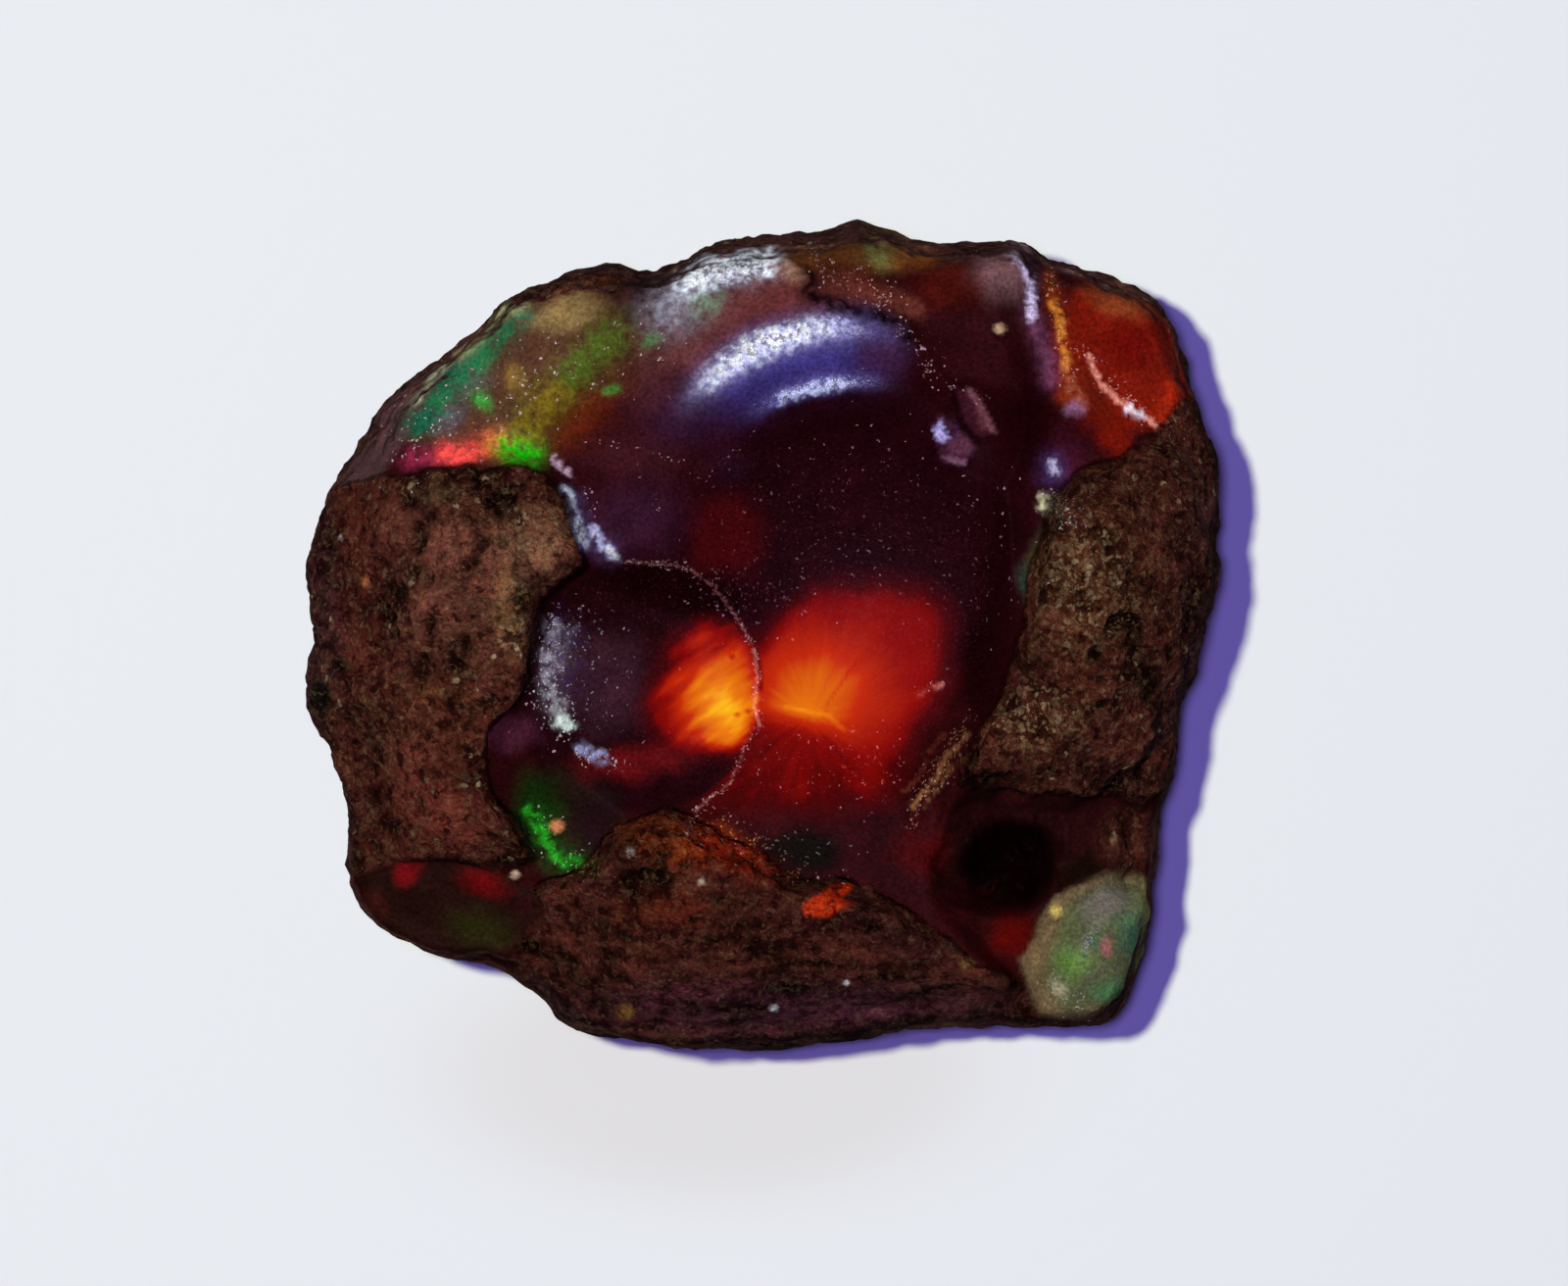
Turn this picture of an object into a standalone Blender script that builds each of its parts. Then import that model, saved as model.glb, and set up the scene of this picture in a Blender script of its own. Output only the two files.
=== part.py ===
"""Rough opal nodule: a broken, rounded lump of dark glassy opal that keeps its rough brown host rock.

The stone is one solid. It lies on a small flat facet at z = 0, with its broken face up. The broken face
holds a wide shell-shaped hollow, a smaller round scar beside it, two raised patches of host rock, a low
shelf of host rock along the front, a deep pit and a pale green knob at the front right corner.
Lengths are in millimetres, and the finished mesh is scaled to metres. +X is right, +Y back, +Z up.
"""

import bmesh
import bpy
import numpy as np
from mathutils import Vector, noise

METRES = 0.001

# Driving dimensions
GIRTH_HEIGHT = 6.8  # height of the widest outline above the table
CROWN_HEIGHT = 15.0  # height of the unbroken dome above the table
SOLE_DEPTH = 7.3  # how far the underside bulges below the widest outline, before the rest facet
BELLY = 2.3  # higher is a flatter underside
SHOULDERS = ((0.0, 4.2), (90.0, 7.0), (180.0, 2.7), (270.0, 3.2))  # by direction; higher is squarer
BROAD_TURN = 24.0  # degrees over which the outline is evened out for the inner part of the face

# The widest outline seen from above, counter-clockwise from the right
OUTLINE = [
    (16.0, 3.4), (15.8, 6.2), (15.0, 8.4), (14.7, 9.9), (14.2, 11.2), (13.2, 12.1), (10.2, 13.2),
    (9.0, 13.8), (6.2, 13.8), (4.7, 14.3), (3.3, 14.6), (2.1, 14.3), (0.7, 14.1), (-1.8, 13.8),
    (-2.7, 13.4), (-4.3, 12.9), (-5.4, 13.1), (-7.5, 12.5), (-9.2, 11.6), (-10.5, 10.3), (-12.8, 8.5),
    (-14.5, 6.3), (-15.4, 4.4), (-15.8, 2.0), (-15.8, -0.4), (-15.9, -2.2), (-15.1, -3.6), (-14.5, -5.9),
    (-14.4, -8.3), (-13.7, -9.8), (-12.0, -10.8), (-9.6, -11.3), (-7.9, -12.1), (-7.1, -13.1),
    (-6.1, -13.7), (-4.1, -14.1), (-0.6, -14.3), (2.4, -14.0), (5.2, -13.6), (7.6, -13.4),
    (10.7, -13.5), (12.1, -13.2), (12.9, -12.2), (13.5, -10.0), (13.6, -8.0), (14.1, -4.9),
    (14.5, -2.6), (15.4, -0.2), (15.8, 1.3),
]

# The wide hollow: an inner bowl inside a gentler slope that carries three ripples round their own middle.
# Every depth on the broken face is below the crown.
HOLLOW_CENTRE = (2.9, 1.1)
BOWL_RADIUS = 7.0
BOWL_DEPTH = 6.2
LIP_DEPTH = 3.9
SLOPE_RISE = 0.17  # how much the slope outside the lip climbs per millimetre
RIPPLE_CENTRE = (3.14, 3.02)
RIPPLE_CRESTS = (5.2, 7.3, 10.1)  # distances of the ripple crests on the back left slope
RIPPLE_WIDTH = 0.72
RIPPLE_HEIGHT = 0.26
RIPPLE_SWEEP = (58.0, 76.0, 124.0, 158.0)  # directions between which the ripples fade in and out

# The round scar left of the hollow, and the swelling on its floor
SCAR_CENTRE = (-4.4, -1.8)
SCAR_RADIUS = 4.4
SCAR_RIM_DEPTH = 4.1
SCAR_LEAN = (-0.25, -0.07)  # its rim sinks towards the hollow
SCAR_SAG = 1.5
SWELLING_CENTRE = (-5.6, -1.7)
SWELLING_RADII = (2.9, 2.2)
SWELLING_HEIGHT = 1.1

# Patches of host rock on the broken face, as outlines that run past the stone's own edge
LEFT_ROCK = [
    (-12.9, 5.6), (-11.4, 5.9), (-9.5, 6.0), (-7.5, 5.7), (-6.8, 4.6), (-6.4, 2.6), (-7.9, 1.6),
    (-7.8, -0.1), (-8.1, -1.5), (-9.4, -2.9), (-9.7, -4.0), (-9.4, -5.2), (-8.6, -6.5), (-8.0, -7.6),
    (-9.6, -7.9), (-13.2, -7.9), (-18.0, -9.4), (-20.0, 0.0), (-16.5, 5.0),
]
RIGHT_ROCK = [
    (20.0, 8.4), (14.6, 8.2), (13.6, 7.1), (12.2, 6.2), (10.9, 5.6), (10.2, 4.6), (9.7, 3.0), (9.2, 1.0),
    (8.9, -1.0), (8.1, -2.5), (7.3, -3.8), (7.1, -4.8), (8.7, -5.1), (11.0, -5.2), (13.0, -5.2),
    (20.0, -5.0),
]
FRONT_ROCK = [
    (-7.7, -8.8), (-6.1, -8.3), (-5.3, -7.6), (-4.8, -6.8), (-3.4, -6.4), (-2.0, -6.9), (-0.6, -7.6),
    (0.7, -8.5), (2.8, -8.8), (4.2, -9.2), (5.4, -10.0), (7.1, -11.6), (9.0, -12.1), (10.0, -13.0),
    (11.0, -20.0), (-9.0, -20.0), (-8.6, -12.0),
]
BACK_ROCK = [(-8.4, 11.6), (-6.2, 12.2), (-4.9, 12.2), (-4.4, 12.8), (-4.6, 16.0), (-12.0, 16.0)]
ROCK_EDGE = 0.36  # half the width of the steep step round a patch
ROCK_DEPTH = 0.9  # how far the rock lies below the unbroken dome
FLANKS = ((RIGHT_ROCK, 1.8, 2.1), (LEFT_ROCK, 0.7, 0.9))  # the opal's climb to a patch: (patch, rise, width)

# The smooth lobe behind the hollow, which starts at the crushed ledge
LOBE = [
    (1.9, 13.3), (3.3, 11.9), (5.0, 10.7), (5.6, 9.4), (7.2, 8.5), (8.2, 7.1), (9.4, 6.2), (10.2, 7.8),
    (9.7, 10.9), (9.2, 13.3), (8.0, 18.0), (2.5, 18.0),
]
LOBE_HEIGHT = 0.45

# Raised lines, which fade out at both ends: (path, height, half width)
RIDGES = (
    ([(8.7, 14.2), (9.4, 11.3), (9.9, 9.7), (10.2, 8.3), (10.1, 5.2)], 0.5, 0.55),  # the lobe's right edge
    ([(10.4, 10.2), (12.2, 8.6), (13.9, 7.1)], 0.25, 0.3),  # crushed line under the back right facet
    ([(1.6, 13.3), (3.4, 11.6), (5.0, 10.7), (5.6, 9.0), (7.6, 8.1)], 0.3, 0.35),  # the crushed ledge
    ([(-7.9, 5.9), (-4.6, 6.1), (-2.4, 5.2), (-0.6, 6.6)], 0.12, 0.4),  # faint crease above the scar
    ([(7.2, -2.8), (6.2, -4.2), (5.4, -5.4), (5.2, -6.6)], 0.4, 0.3),  # splinters left of the pit
    ([(6.5, -3.0), (5.3, -5.1)], 0.3, 0.22),
)

# Dished breaks: (centre x, centre y, depth there, lean in x, lean in y, radius of curvature)
BACK_RIGHT_FACET = (12.3, 9.6, 4.6, -0.30, -0.10, 12.0)
BACK_RIGHT_CHIP = (11.6, 7.4, 3.9, 0.10, 0.45, 6.0)
FRONT_LEFT_WINDOW = (-11.2, -9.4, 5.3, 0.16, 0.52, 11.0)
BACK_LEFT_WINDOW = (-9.4, 8.3, 3.2, 0.30, -0.34, 40.0)
GREEN_DIP = (-6.6, -6.3, 4.6, 0.16, 0.30, 3.2)
FRONT_RIGHT_PIT = (8.6, -7.9, 6.0, 0.12, -0.14, 1.2)
BOWL_CHIPS = ((6.7, 6.9, 4.3, -0.40, 0.20, 1.9), (7.3, 7.7, 4.05, 0.30, 0.25, 1.3))

# Front right corner: the ground there lies lower, under the undercut edge of the right rock
LOW_CORNER = [
    (6.6, -5.1), (7.8, -5.7), (9.2, -5.0), (10.6, -5.6), (12.0, -5.1), (13.2, -5.8), (20.0, -5.4),
    (20.0, -20.0), (9.5, -20.0), (8.4, -11.6), (6.0, -9.0),
]
LOW_CORNER_DEPTH = 2.3

# Domed lumps: (centre x, centre y, depth of its top, radius along, radius across, height, turn in degrees)
RIGHT_LUMP = (11.6, 1.6, 0.3, 6.2, 4.4, 4.8, 82.0)
RIGHT_LOWER_LUMP = (10.4, -2.2, 1.1, 4.0, 3.4, 4.2, 20.0)
LEFT_LUMP = (-9.7, 2.6, 1.2, 5.6, 4.2, 4.9, 100.0)
GREEN_KNOB = (11.3, -10.9, 4.2, 2.9, 2.0, 3.0, 58.0)

TRIANGLES = 9400
SPHERE_STEPS = 7
REST_CUT = 3.0  # thickness of the block that trims the underside flat


def smooth_step(low, high, value):
    """0 below low, 1 above high and an even curve between."""
    t = np.clip((value - low) / (high - low), 0.0, 1.0)
    return t * t * (3.0 - 2.0 * t)


def smooth_min(a, b, width):
    """The lower of two heights, rounded where they meet."""
    share = np.clip(0.5 + 0.5 * (b - a) / width, 0.0, 1.0)
    return b + (a - b) * share - width * share * (1.0 - share)


def smooth_max(a, b, width):
    return -smooth_min(-a, -b, width)


def fractal(x, y, z, size, octaves, seed):
    """Smooth noise of about -1 to 1, with its largest lumps about as wide as size."""
    shift = Vector((seed * 17.3, seed * 5.1, seed * 9.7))
    points = zip((x / size).tolist(), (y / size).tolist(), (z / size).tolist())
    return np.array([noise.fractal(Vector(p) + shift, 1.0, 2.0, octaves) for p in points])


def path_distance(x, y, path):
    """Distance to the nearest point of an open line, and how far along the line that point is, 0 to 1."""
    nearest = np.full(len(x), 1e9)
    along = np.zeros(len(x))
    pieces = len(path) - 1
    for i, ((ax, ay), (bx, by)) in enumerate(zip(path, path[1:])):
        ex, ey = bx - ax, by - ay
        t = np.clip(((x - ax) * ex + (y - ay) * ey) / (ex * ex + ey * ey), 0.0, 1.0)
        away = np.hypot(x - ax - t * ex, y - ay - t * ey)
        along = np.where(away < nearest, (i + t) / pieces, along)
        nearest = np.minimum(nearest, away)
    return nearest, along


def ridge(x, y, wander, path, high, half_width):
    """A raised line that fades out at both ends."""
    away, along = path_distance(x, y, path)
    taper = np.clip(4.0 * np.minimum(along, 1.0 - along), 0.0, 1.0)
    return high * taper * np.exp(-(((away + 0.15 * wander) / half_width) ** 2))


def inside(x, y, outline):
    """Distance to an outline's nearest edge, positive inside it."""
    within = np.zeros(len(x), bool)
    for (ax, ay), (bx, by) in zip(outline, outline[1:] + outline[:1]):
        if by != ay:
            crosses = (y < ay) != (y < by)
            within ^= crosses & (x < ax + (y - ay) * (bx - ax) / (by - ay))
    nearest = path_distance(x, y, outline + outline[:1])[0]
    return np.where(within, nearest, -nearest)


def rounded_outline(points, steps=12):
    """A closed smooth curve through the points."""
    p = np.array(points)
    before, after, beyond = np.roll(p, 1, 0), np.roll(p, -1, 0), np.roll(p, -2, 0)
    curve = []
    for t in np.arange(steps) / steps:
        curve.append(
            0.5 * (2 * p + (after - before) * t + (2 * before - 5 * p + 4 * after - beyond) * t**2
                   + (3 * p - before - 3 * after + beyond) * t**3)
        )
    return np.stack(curve, 1).reshape(-1, 2)


def outline_radius(angle):
    """How far the widest outline is from the middle, by direction."""
    curve = rounded_outline(OUTLINE)
    directions = np.arctan2(curve[:, 1], curve[:, 0])
    order = np.argsort(directions)
    return np.interp(angle, directions[order], np.hypot(*curve[order].T), period=2 * np.pi)


def broad_radius(angle):
    """The same, with the outline's small bends evened out."""
    turns = np.radians(np.linspace(-BROAD_TURN, BROAD_TURN, 9))
    return np.mean([outline_radius(angle + turn) for turn in turns], axis=0)


def shoulder(angle):
    """How square the dome's shoulder is, by direction."""
    directions, squareness = np.array(SHOULDERS).T
    turned = np.degrees(angle) % 360.0
    quarter = np.floor(turned / 90.0) * 90.0
    eased = quarter + 90.0 * smooth_step(0.0, 1.0, (turned - quarter) / 90.0)
    return np.interp(eased, directions, squareness, period=360.0)


def dome(x, y, reach):
    """The unbroken nodule's top. reach is 0 in the middle and 1 at the widest outline."""
    angle = np.arctan2(y, x)
    near_edge = smooth_step(0.72, 1.0, reach)
    even = np.hypot(x, y) / broad_radius(angle)
    eased = np.clip(even + (reach - even) * near_edge, 0.0, 1.0)
    return GIRTH_HEIGHT + (CROWN_HEIGHT - GIRTH_HEIGHT) * (1.0 - eased ** shoulder(angle)) ** 0.45


def dished_plane(x, y, facet):
    """A leaning plane that curves up away from its centre, like the inside of a chipped flake."""
    cx, cy, depth, lean_x, lean_y, curvature = facet
    dx, dy = x - cx, y - cy
    return CROWN_HEIGHT - depth + lean_x * dx + lean_y * dy + (dx * dx + dy * dy) / (2.0 * curvature)


def lump_top(x, y, lump):
    """Height of an ellipsoid's upper side, falling away fast outside it."""
    cx, cy, depth, along, across, high, turn = lump
    c, s = np.cos(np.radians(turn)), np.sin(np.radians(turn))
    u = ((x - cx) * c + (y - cy) * s) / along
    v = ((y - cy) * c - (x - cx) * s) / across
    reach = u * u + v * v
    return CROWN_HEIGHT - depth - high + high * np.where(
        reach < 1.0, np.sqrt(np.maximum(1.0 - reach, 0.0)), 1.0 - reach
    )


def hollow(x, y):
    """The wide shell-shaped break: a bowl, and round it a gentle slope with ripples on its back left side."""
    dx, dy = x - HOLLOW_CENTRE[0], y - HOLLOW_CENTRE[1]
    far = np.hypot(dx, dy)
    bowl = CROWN_HEIGHT - BOWL_DEPTH + (BOWL_DEPTH - LIP_DEPTH) * (far / BOWL_RADIUS) ** 2
    slope = CROWN_HEIGHT - LIP_DEPTH + SLOPE_RISE * (far - BOWL_RADIUS)
    across, along = x - RIPPLE_CENTRE[0], y - RIPPLE_CENTRE[1]
    turned = np.degrees(np.arctan2(along, across))
    start, full, fade, end = RIPPLE_SWEEP
    sweep = smooth_step(start, full, turned) * (1.0 - smooth_step(fade, end, turned))
    for crest in RIPPLE_CRESTS:
        slope += RIPPLE_HEIGHT * sweep * np.exp(-(((np.hypot(across, along) - crest) / RIPPLE_WIDTH) ** 2))
    return smooth_min(bowl, slope, 0.35)


def round_scar(x, y):
    """The round break beside the hollow: a dish with a swelling on its floor."""
    dx, dy = x - SCAR_CENTRE[0], y - SCAR_CENTRE[1]
    rim = CROWN_HEIGHT - SCAR_RIM_DEPTH + SCAR_LEAN[0] * dx + SCAR_LEAN[1] * dy
    dish = rim + SCAR_SAG * ((np.hypot(dx, dy) / SCAR_RADIUS) ** 2.5 - 1.0)
    u = (x - SWELLING_CENTRE[0]) / SWELLING_RADII[0]
    v = (y - SWELLING_CENTRE[1]) / SWELLING_RADII[1]
    return dish + SWELLING_HEIGHT * np.exp(-((u * u + v * v) ** 1.5))


def rock_mask(x, y, wander):
    """1 on the patches of host rock and 0 on bare opal, with uneven edges."""
    patches = (LEFT_ROCK, RIGHT_ROCK, FRONT_ROCK, BACK_ROCK)
    depth = np.maximum.reduce([inside(x, y, patch) for patch in patches])
    return smooth_step(-ROCK_EDGE, ROCK_EDGE, depth + 0.25 * wander)


def opal_height(x, y, unbroken, wander):
    """The bare opal: smooth breaks that meet in sharp edges."""
    height = hollow(x, y)
    for patch, rise, width in FLANKS:
        height += rise * smooth_step(-width, 0.0, inside(x, y, patch)) ** 1.5
    height = smooth_min(unbroken, height, 0.5)
    height += LOBE_HEIGHT * smooth_step(-0.3, 0.3, inside(x, y, LOBE) + 0.2 * wander)
    height = smooth_min(height, dished_plane(x, y, BACK_LEFT_WINDOW), 0.6)
    for path, high, half_width in RIDGES:
        height += ridge(x, y, wander, path, high, half_width)
    for chip in (BACK_RIGHT_FACET, BACK_RIGHT_CHIP, *BOWL_CHIPS):
        height = smooth_min(height, dished_plane(x, y, chip), 0.08)
    height = smooth_min(height, round_scar(x, y), 0.08)
    return smooth_min(height, dished_plane(x, y, GREEN_DIP), 0.3)


def rock_height(x, y, unbroken, wander):
    """The host rock: lumpy, and close under the unbroken dome."""
    flat = np.zeros(len(x))
    height = unbroken - ROCK_DEPTH + 0.4 * fractal(x, y, flat, 3.4, 5, 2)
    for lump in (RIGHT_LUMP, RIGHT_LOWER_LUMP, LEFT_LUMP):
        height = smooth_max(height, lump_top(x, y, lump) + 0.3 * wander, 1.2)
    return smooth_min(height, unbroken + 0.6, 0.8)


def top_height(x, y, reach):
    """Height of the broken face."""
    unbroken = dome(x, y, reach)
    wander = fractal(x, y, np.zeros(len(x)), 1.6, 4, 1)
    opal = opal_height(x, y, unbroken, wander)
    rock = rock_height(x, y, unbroken, wander)
    height = opal + (rock - opal) * rock_mask(x, y, wander)

    low = smooth_step(-0.35, 0.35, inside(x, y, LOW_CORNER) + 0.3 * wander)
    height += (unbroken - LOW_CORNER_DEPTH + 0.3 * wander - height) * low
    height = smooth_min(height, dished_plane(x, y, FRONT_LEFT_WINDOW), 0.1)
    height = smooth_min(height, dished_plane(x, y, FRONT_RIGHT_PIT) + 1.1 * wander, 0.5)
    height = smooth_max(height, lump_top(x, y, GREEN_KNOB), 0.25)
    # Whatever the break did, the face comes down to the widest outline.
    rim = smooth_step(0.93, 1.0, reach)
    return height + (unbroken - height) * rim


def stone_points(directions):
    """Moves points of a unit sphere onto the stone."""
    nx, ny, nz = directions.T
    reach = np.clip(np.hypot(nx, ny), 0.0, 1.0)
    radius = outline_radius(np.arctan2(ny, nx))
    x, y = radius * nx, radius * ny
    upper = top_height(x, y, reach)
    lower = GIRTH_HEIGHT - SOLE_DEPTH * (1.0 - reach**BELLY) ** 0.5
    points = np.stack([x, y, np.where(nz >= 0.0, upper, lower)], 1)
    return points + outward_lumps(points, nz)


def outward_lumps(points, nz):
    """Uneven knobs on the sides and the underside, which fade out before the broken face."""
    x, y, z = points.T
    side = 1.0 - smooth_step(0.25, 0.6, nz)
    amount = side * (0.30 * fractal(x, y, z, 4.2, 4, 3) + 0.12 * fractal(x, y, z, 1.5, 3, 4))
    outward = points - np.array([0.0, 0.0, GIRTH_HEIGHT])
    outward /= np.maximum(np.linalg.norm(outward, axis=1, keepdims=True), 1e-6)
    return outward * amount[:, None]


def clear_scene():
    for obj in list(bpy.data.objects):
        bpy.data.objects.remove(obj, do_unlink=True)


def opal_material():
    """Dark red-brown opal glass."""
    material = bpy.data.materials.new("opal")
    material.use_nodes = True
    shader = material.node_tree.nodes["Principled BSDF"]
    shader.inputs["Base Color"].default_value = (0.16, 0.045, 0.03, 1.0)
    shader.inputs["Roughness"].default_value = 0.3
    shader.inputs["Metallic"].default_value = 0.0
    return material


def add_object(name, build):
    """A new mesh object whose mesh is what build makes."""
    mesh = bpy.data.meshes.new(name)
    bm = bmesh.new()
    build(bm)
    bm.to_mesh(mesh)
    bm.free()
    obj = bpy.data.objects.new(name, mesh)
    bpy.context.scene.collection.objects.link(obj)
    return obj


def build_stone(bm):
    """A fine sphere whose points are moved onto the stone, centred over the origin."""
    bmesh.ops.create_icosphere(bm, subdivisions=SPHERE_STEPS, radius=1.0)
    points = stone_points(np.array([v.co.normalized() for v in bm.verts]))
    points[:, :2] -= (points[:, :2].min(0) + points[:, :2].max(0)) / 2
    for vertex, point in zip(bm.verts, points * METRES):
        vertex.co = point


def build_rest_cutter(bm):
    """A block whose top is the table, to trim the underside to a small flat facet."""
    bmesh.ops.create_cube(bm, size=1.0)
    bmesh.ops.scale(bm, vec=Vector((40.0, 40.0, REST_CUT)) * METRES, verts=bm.verts)
    bmesh.ops.translate(bm, vec=Vector((0.0, 0.0, -REST_CUT / 2)) * METRES, verts=bm.verts)


def main():
    clear_scene()
    stone = add_object("opal_nodule", build_stone)
    stone.data.materials.append(opal_material())
    stone.data.shade_smooth()

    fewer = stone.modifiers.new("fewer_faces", "DECIMATE")
    fewer.ratio = TRIANGLES / len(stone.data.polygons)

    cutter = add_object("rest_cutter", build_rest_cutter)
    cutter.hide_render = True
    cutter.display_type = "WIRE"
    trim = stone.modifiers.new("rest_facet", "BOOLEAN")
    trim.operation = "DIFFERENCE"
    trim.object = cutter


main()
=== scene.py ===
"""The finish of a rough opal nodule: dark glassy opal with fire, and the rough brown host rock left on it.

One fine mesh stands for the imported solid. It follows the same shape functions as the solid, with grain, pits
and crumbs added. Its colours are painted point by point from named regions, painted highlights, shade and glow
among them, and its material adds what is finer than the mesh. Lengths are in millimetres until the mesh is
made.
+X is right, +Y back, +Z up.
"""

import math

import bmesh
import bpy
import numpy as np
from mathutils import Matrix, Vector, noise


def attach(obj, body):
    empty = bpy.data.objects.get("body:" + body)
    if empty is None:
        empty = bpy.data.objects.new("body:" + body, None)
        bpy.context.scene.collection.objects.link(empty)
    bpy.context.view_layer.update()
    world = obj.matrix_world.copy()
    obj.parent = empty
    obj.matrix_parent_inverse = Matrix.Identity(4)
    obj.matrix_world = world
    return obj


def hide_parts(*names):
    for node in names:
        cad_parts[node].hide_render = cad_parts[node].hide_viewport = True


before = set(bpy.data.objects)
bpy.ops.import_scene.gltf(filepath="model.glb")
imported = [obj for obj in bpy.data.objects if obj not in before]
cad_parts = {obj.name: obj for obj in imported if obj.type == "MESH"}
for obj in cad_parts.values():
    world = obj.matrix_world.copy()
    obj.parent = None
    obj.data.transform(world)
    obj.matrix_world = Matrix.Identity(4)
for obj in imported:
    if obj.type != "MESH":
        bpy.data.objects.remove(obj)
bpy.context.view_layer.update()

METRES = 0.001

# Driving dimensions, as in the solid
GIRTH_HEIGHT = 6.8  # height of the widest outline above the table
CROWN_HEIGHT = 15.0  # height of the unbroken dome above the table
SOLE_DEPTH = 7.3  # how far the underside bulges below the widest outline, before the rest facet
BELLY = 2.3  # higher is a flatter underside
SHOULDERS = ((0.0, 4.2), (90.0, 7.0), (180.0, 2.7), (270.0, 3.2))  # by direction; higher is squarer
BROAD_TURN = 24.0  # degrees over which the outline is evened out for the inner part of the face

# The widest outline seen from above, counter-clockwise from the right
OUTLINE = [
    (16.0, 3.4), (15.8, 6.2), (15.0, 8.4), (14.7, 9.9), (14.2, 11.2), (13.2, 12.1), (10.2, 13.2),
    (9.0, 13.8), (6.2, 13.8), (4.7, 14.3), (3.3, 14.6), (2.1, 14.3), (0.7, 14.1), (-1.8, 13.8),
    (-2.7, 13.4), (-4.3, 12.9), (-5.4, 13.1), (-7.5, 12.5), (-9.2, 11.6), (-10.5, 10.3), (-12.8, 8.5),
    (-14.5, 6.3), (-15.4, 4.4), (-15.8, 2.0), (-15.8, -0.4), (-15.9, -2.2), (-15.1, -3.6), (-14.5, -5.9),
    (-14.4, -8.3), (-13.7, -9.8), (-12.0, -10.8), (-9.6, -11.3), (-7.9, -12.1), (-7.1, -13.1),
    (-6.1, -13.7), (-4.1, -14.1), (-0.6, -14.3), (2.4, -14.0), (5.2, -13.6), (7.6, -13.4),
    (10.7, -13.5), (12.1, -13.2), (12.9, -12.2), (13.5, -10.0), (13.6, -8.0), (14.1, -4.9),
    (14.5, -2.6), (15.4, -0.2), (15.8, 1.3),
]

# The wide hollow: an inner bowl inside a gentler slope that carries ripples.
# Every depth on the broken face is below the crown.
HOLLOW_CENTRE = (2.9, 1.1)
BOWL_RADIUS = 7.0
BOWL_DEPTH = 6.2
LIP_DEPTH = 3.9
SLOPE_RISE = 0.17  # how much the slope outside the lip climbs per millimetre
RIPPLE_CENTRE = (3.14, 3.02)
RIPPLE_CRESTS = (5.2, 7.3, 10.1)  # distances of the ripple crests on the back left slope
RIPPLE_WIDTH = 0.72
RIPPLE_HEIGHT = 0.26
RIPPLE_SWEEP = (58.0, 76.0, 124.0, 158.0)  # directions between which the ripples fade in and out

# The round scar left of the hollow, and the swelling on its floor
SCAR_CENTRE = (-4.4, -1.8)
SCAR_RADIUS = 4.4
SCAR_RIM_DEPTH = 4.1
SCAR_LEAN = (-0.25, -0.07)  # its rim sinks towards the hollow
SCAR_SAG = 1.5
SWELLING_CENTRE = (-5.6, -1.7)
SWELLING_RADII = (2.9, 2.2)
SWELLING_HEIGHT = 1.1

# Patches of host rock on the broken face, as outlines that run past the stone's own edge
LEFT_ROCK = [
    (-12.9, 5.6), (-11.4, 5.9), (-9.5, 6.0), (-7.5, 5.7), (-6.8, 4.6), (-6.4, 2.6), (-7.9, 1.6),
    (-7.8, -0.1), (-8.1, -1.5), (-9.4, -2.9), (-9.7, -4.0), (-9.4, -5.2), (-8.6, -6.5), (-8.0, -7.6),
    (-9.6, -7.9), (-13.2, -7.9), (-18.0, -9.4), (-20.0, 0.0), (-16.5, 5.0),
]
RIGHT_ROCK = [
    (20.0, 8.4), (14.6, 8.2), (13.6, 7.1), (12.2, 6.2), (10.9, 5.6), (10.2, 4.6), (9.7, 3.0), (9.2, 1.0),
    (8.9, -1.0), (8.1, -2.5), (7.3, -3.8), (7.1, -4.8), (8.7, -5.1), (11.0, -5.2), (13.0, -5.2),
    (20.0, -5.0),
]
FRONT_ROCK = [
    (-7.7, -8.8), (-6.1, -8.3), (-5.3, -7.6), (-4.8, -6.8), (-3.4, -6.4), (-2.0, -6.9), (-0.6, -7.6),
    (0.7, -8.5), (2.8, -8.8), (4.2, -9.2), (5.4, -10.0), (7.1, -11.6), (9.0, -12.1), (10.0, -13.0),
    (11.0, -20.0), (-9.0, -20.0), (-8.6, -12.0),
]
BACK_ROCK = [(-8.4, 11.6), (-6.2, 12.2), (-4.9, 12.2), (-4.4, 12.8), (-4.6, 16.0), (-12.0, 16.0)]
ROCK_EDGE = 0.36  # half the width of the steep step round a patch
ROCK_DEPTH = 0.9  # how far the rock lies below the unbroken dome
FLANKS = ((RIGHT_ROCK, 1.8, 2.1), (LEFT_ROCK, 0.7, 0.9))  # the opal's climb to a patch: (patch, rise, width)

# The smooth lobe behind the hollow, which starts at the crushed ledge
LOBE = [
    (1.9, 13.3), (3.3, 11.9), (5.0, 10.7), (5.6, 9.4), (7.2, 8.5), (8.2, 7.1), (9.4, 6.2), (10.2, 7.8),
    (9.7, 10.9), (9.2, 13.3), (8.0, 18.0), (2.5, 18.0),
]
LOBE_HEIGHT = 0.45

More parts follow.
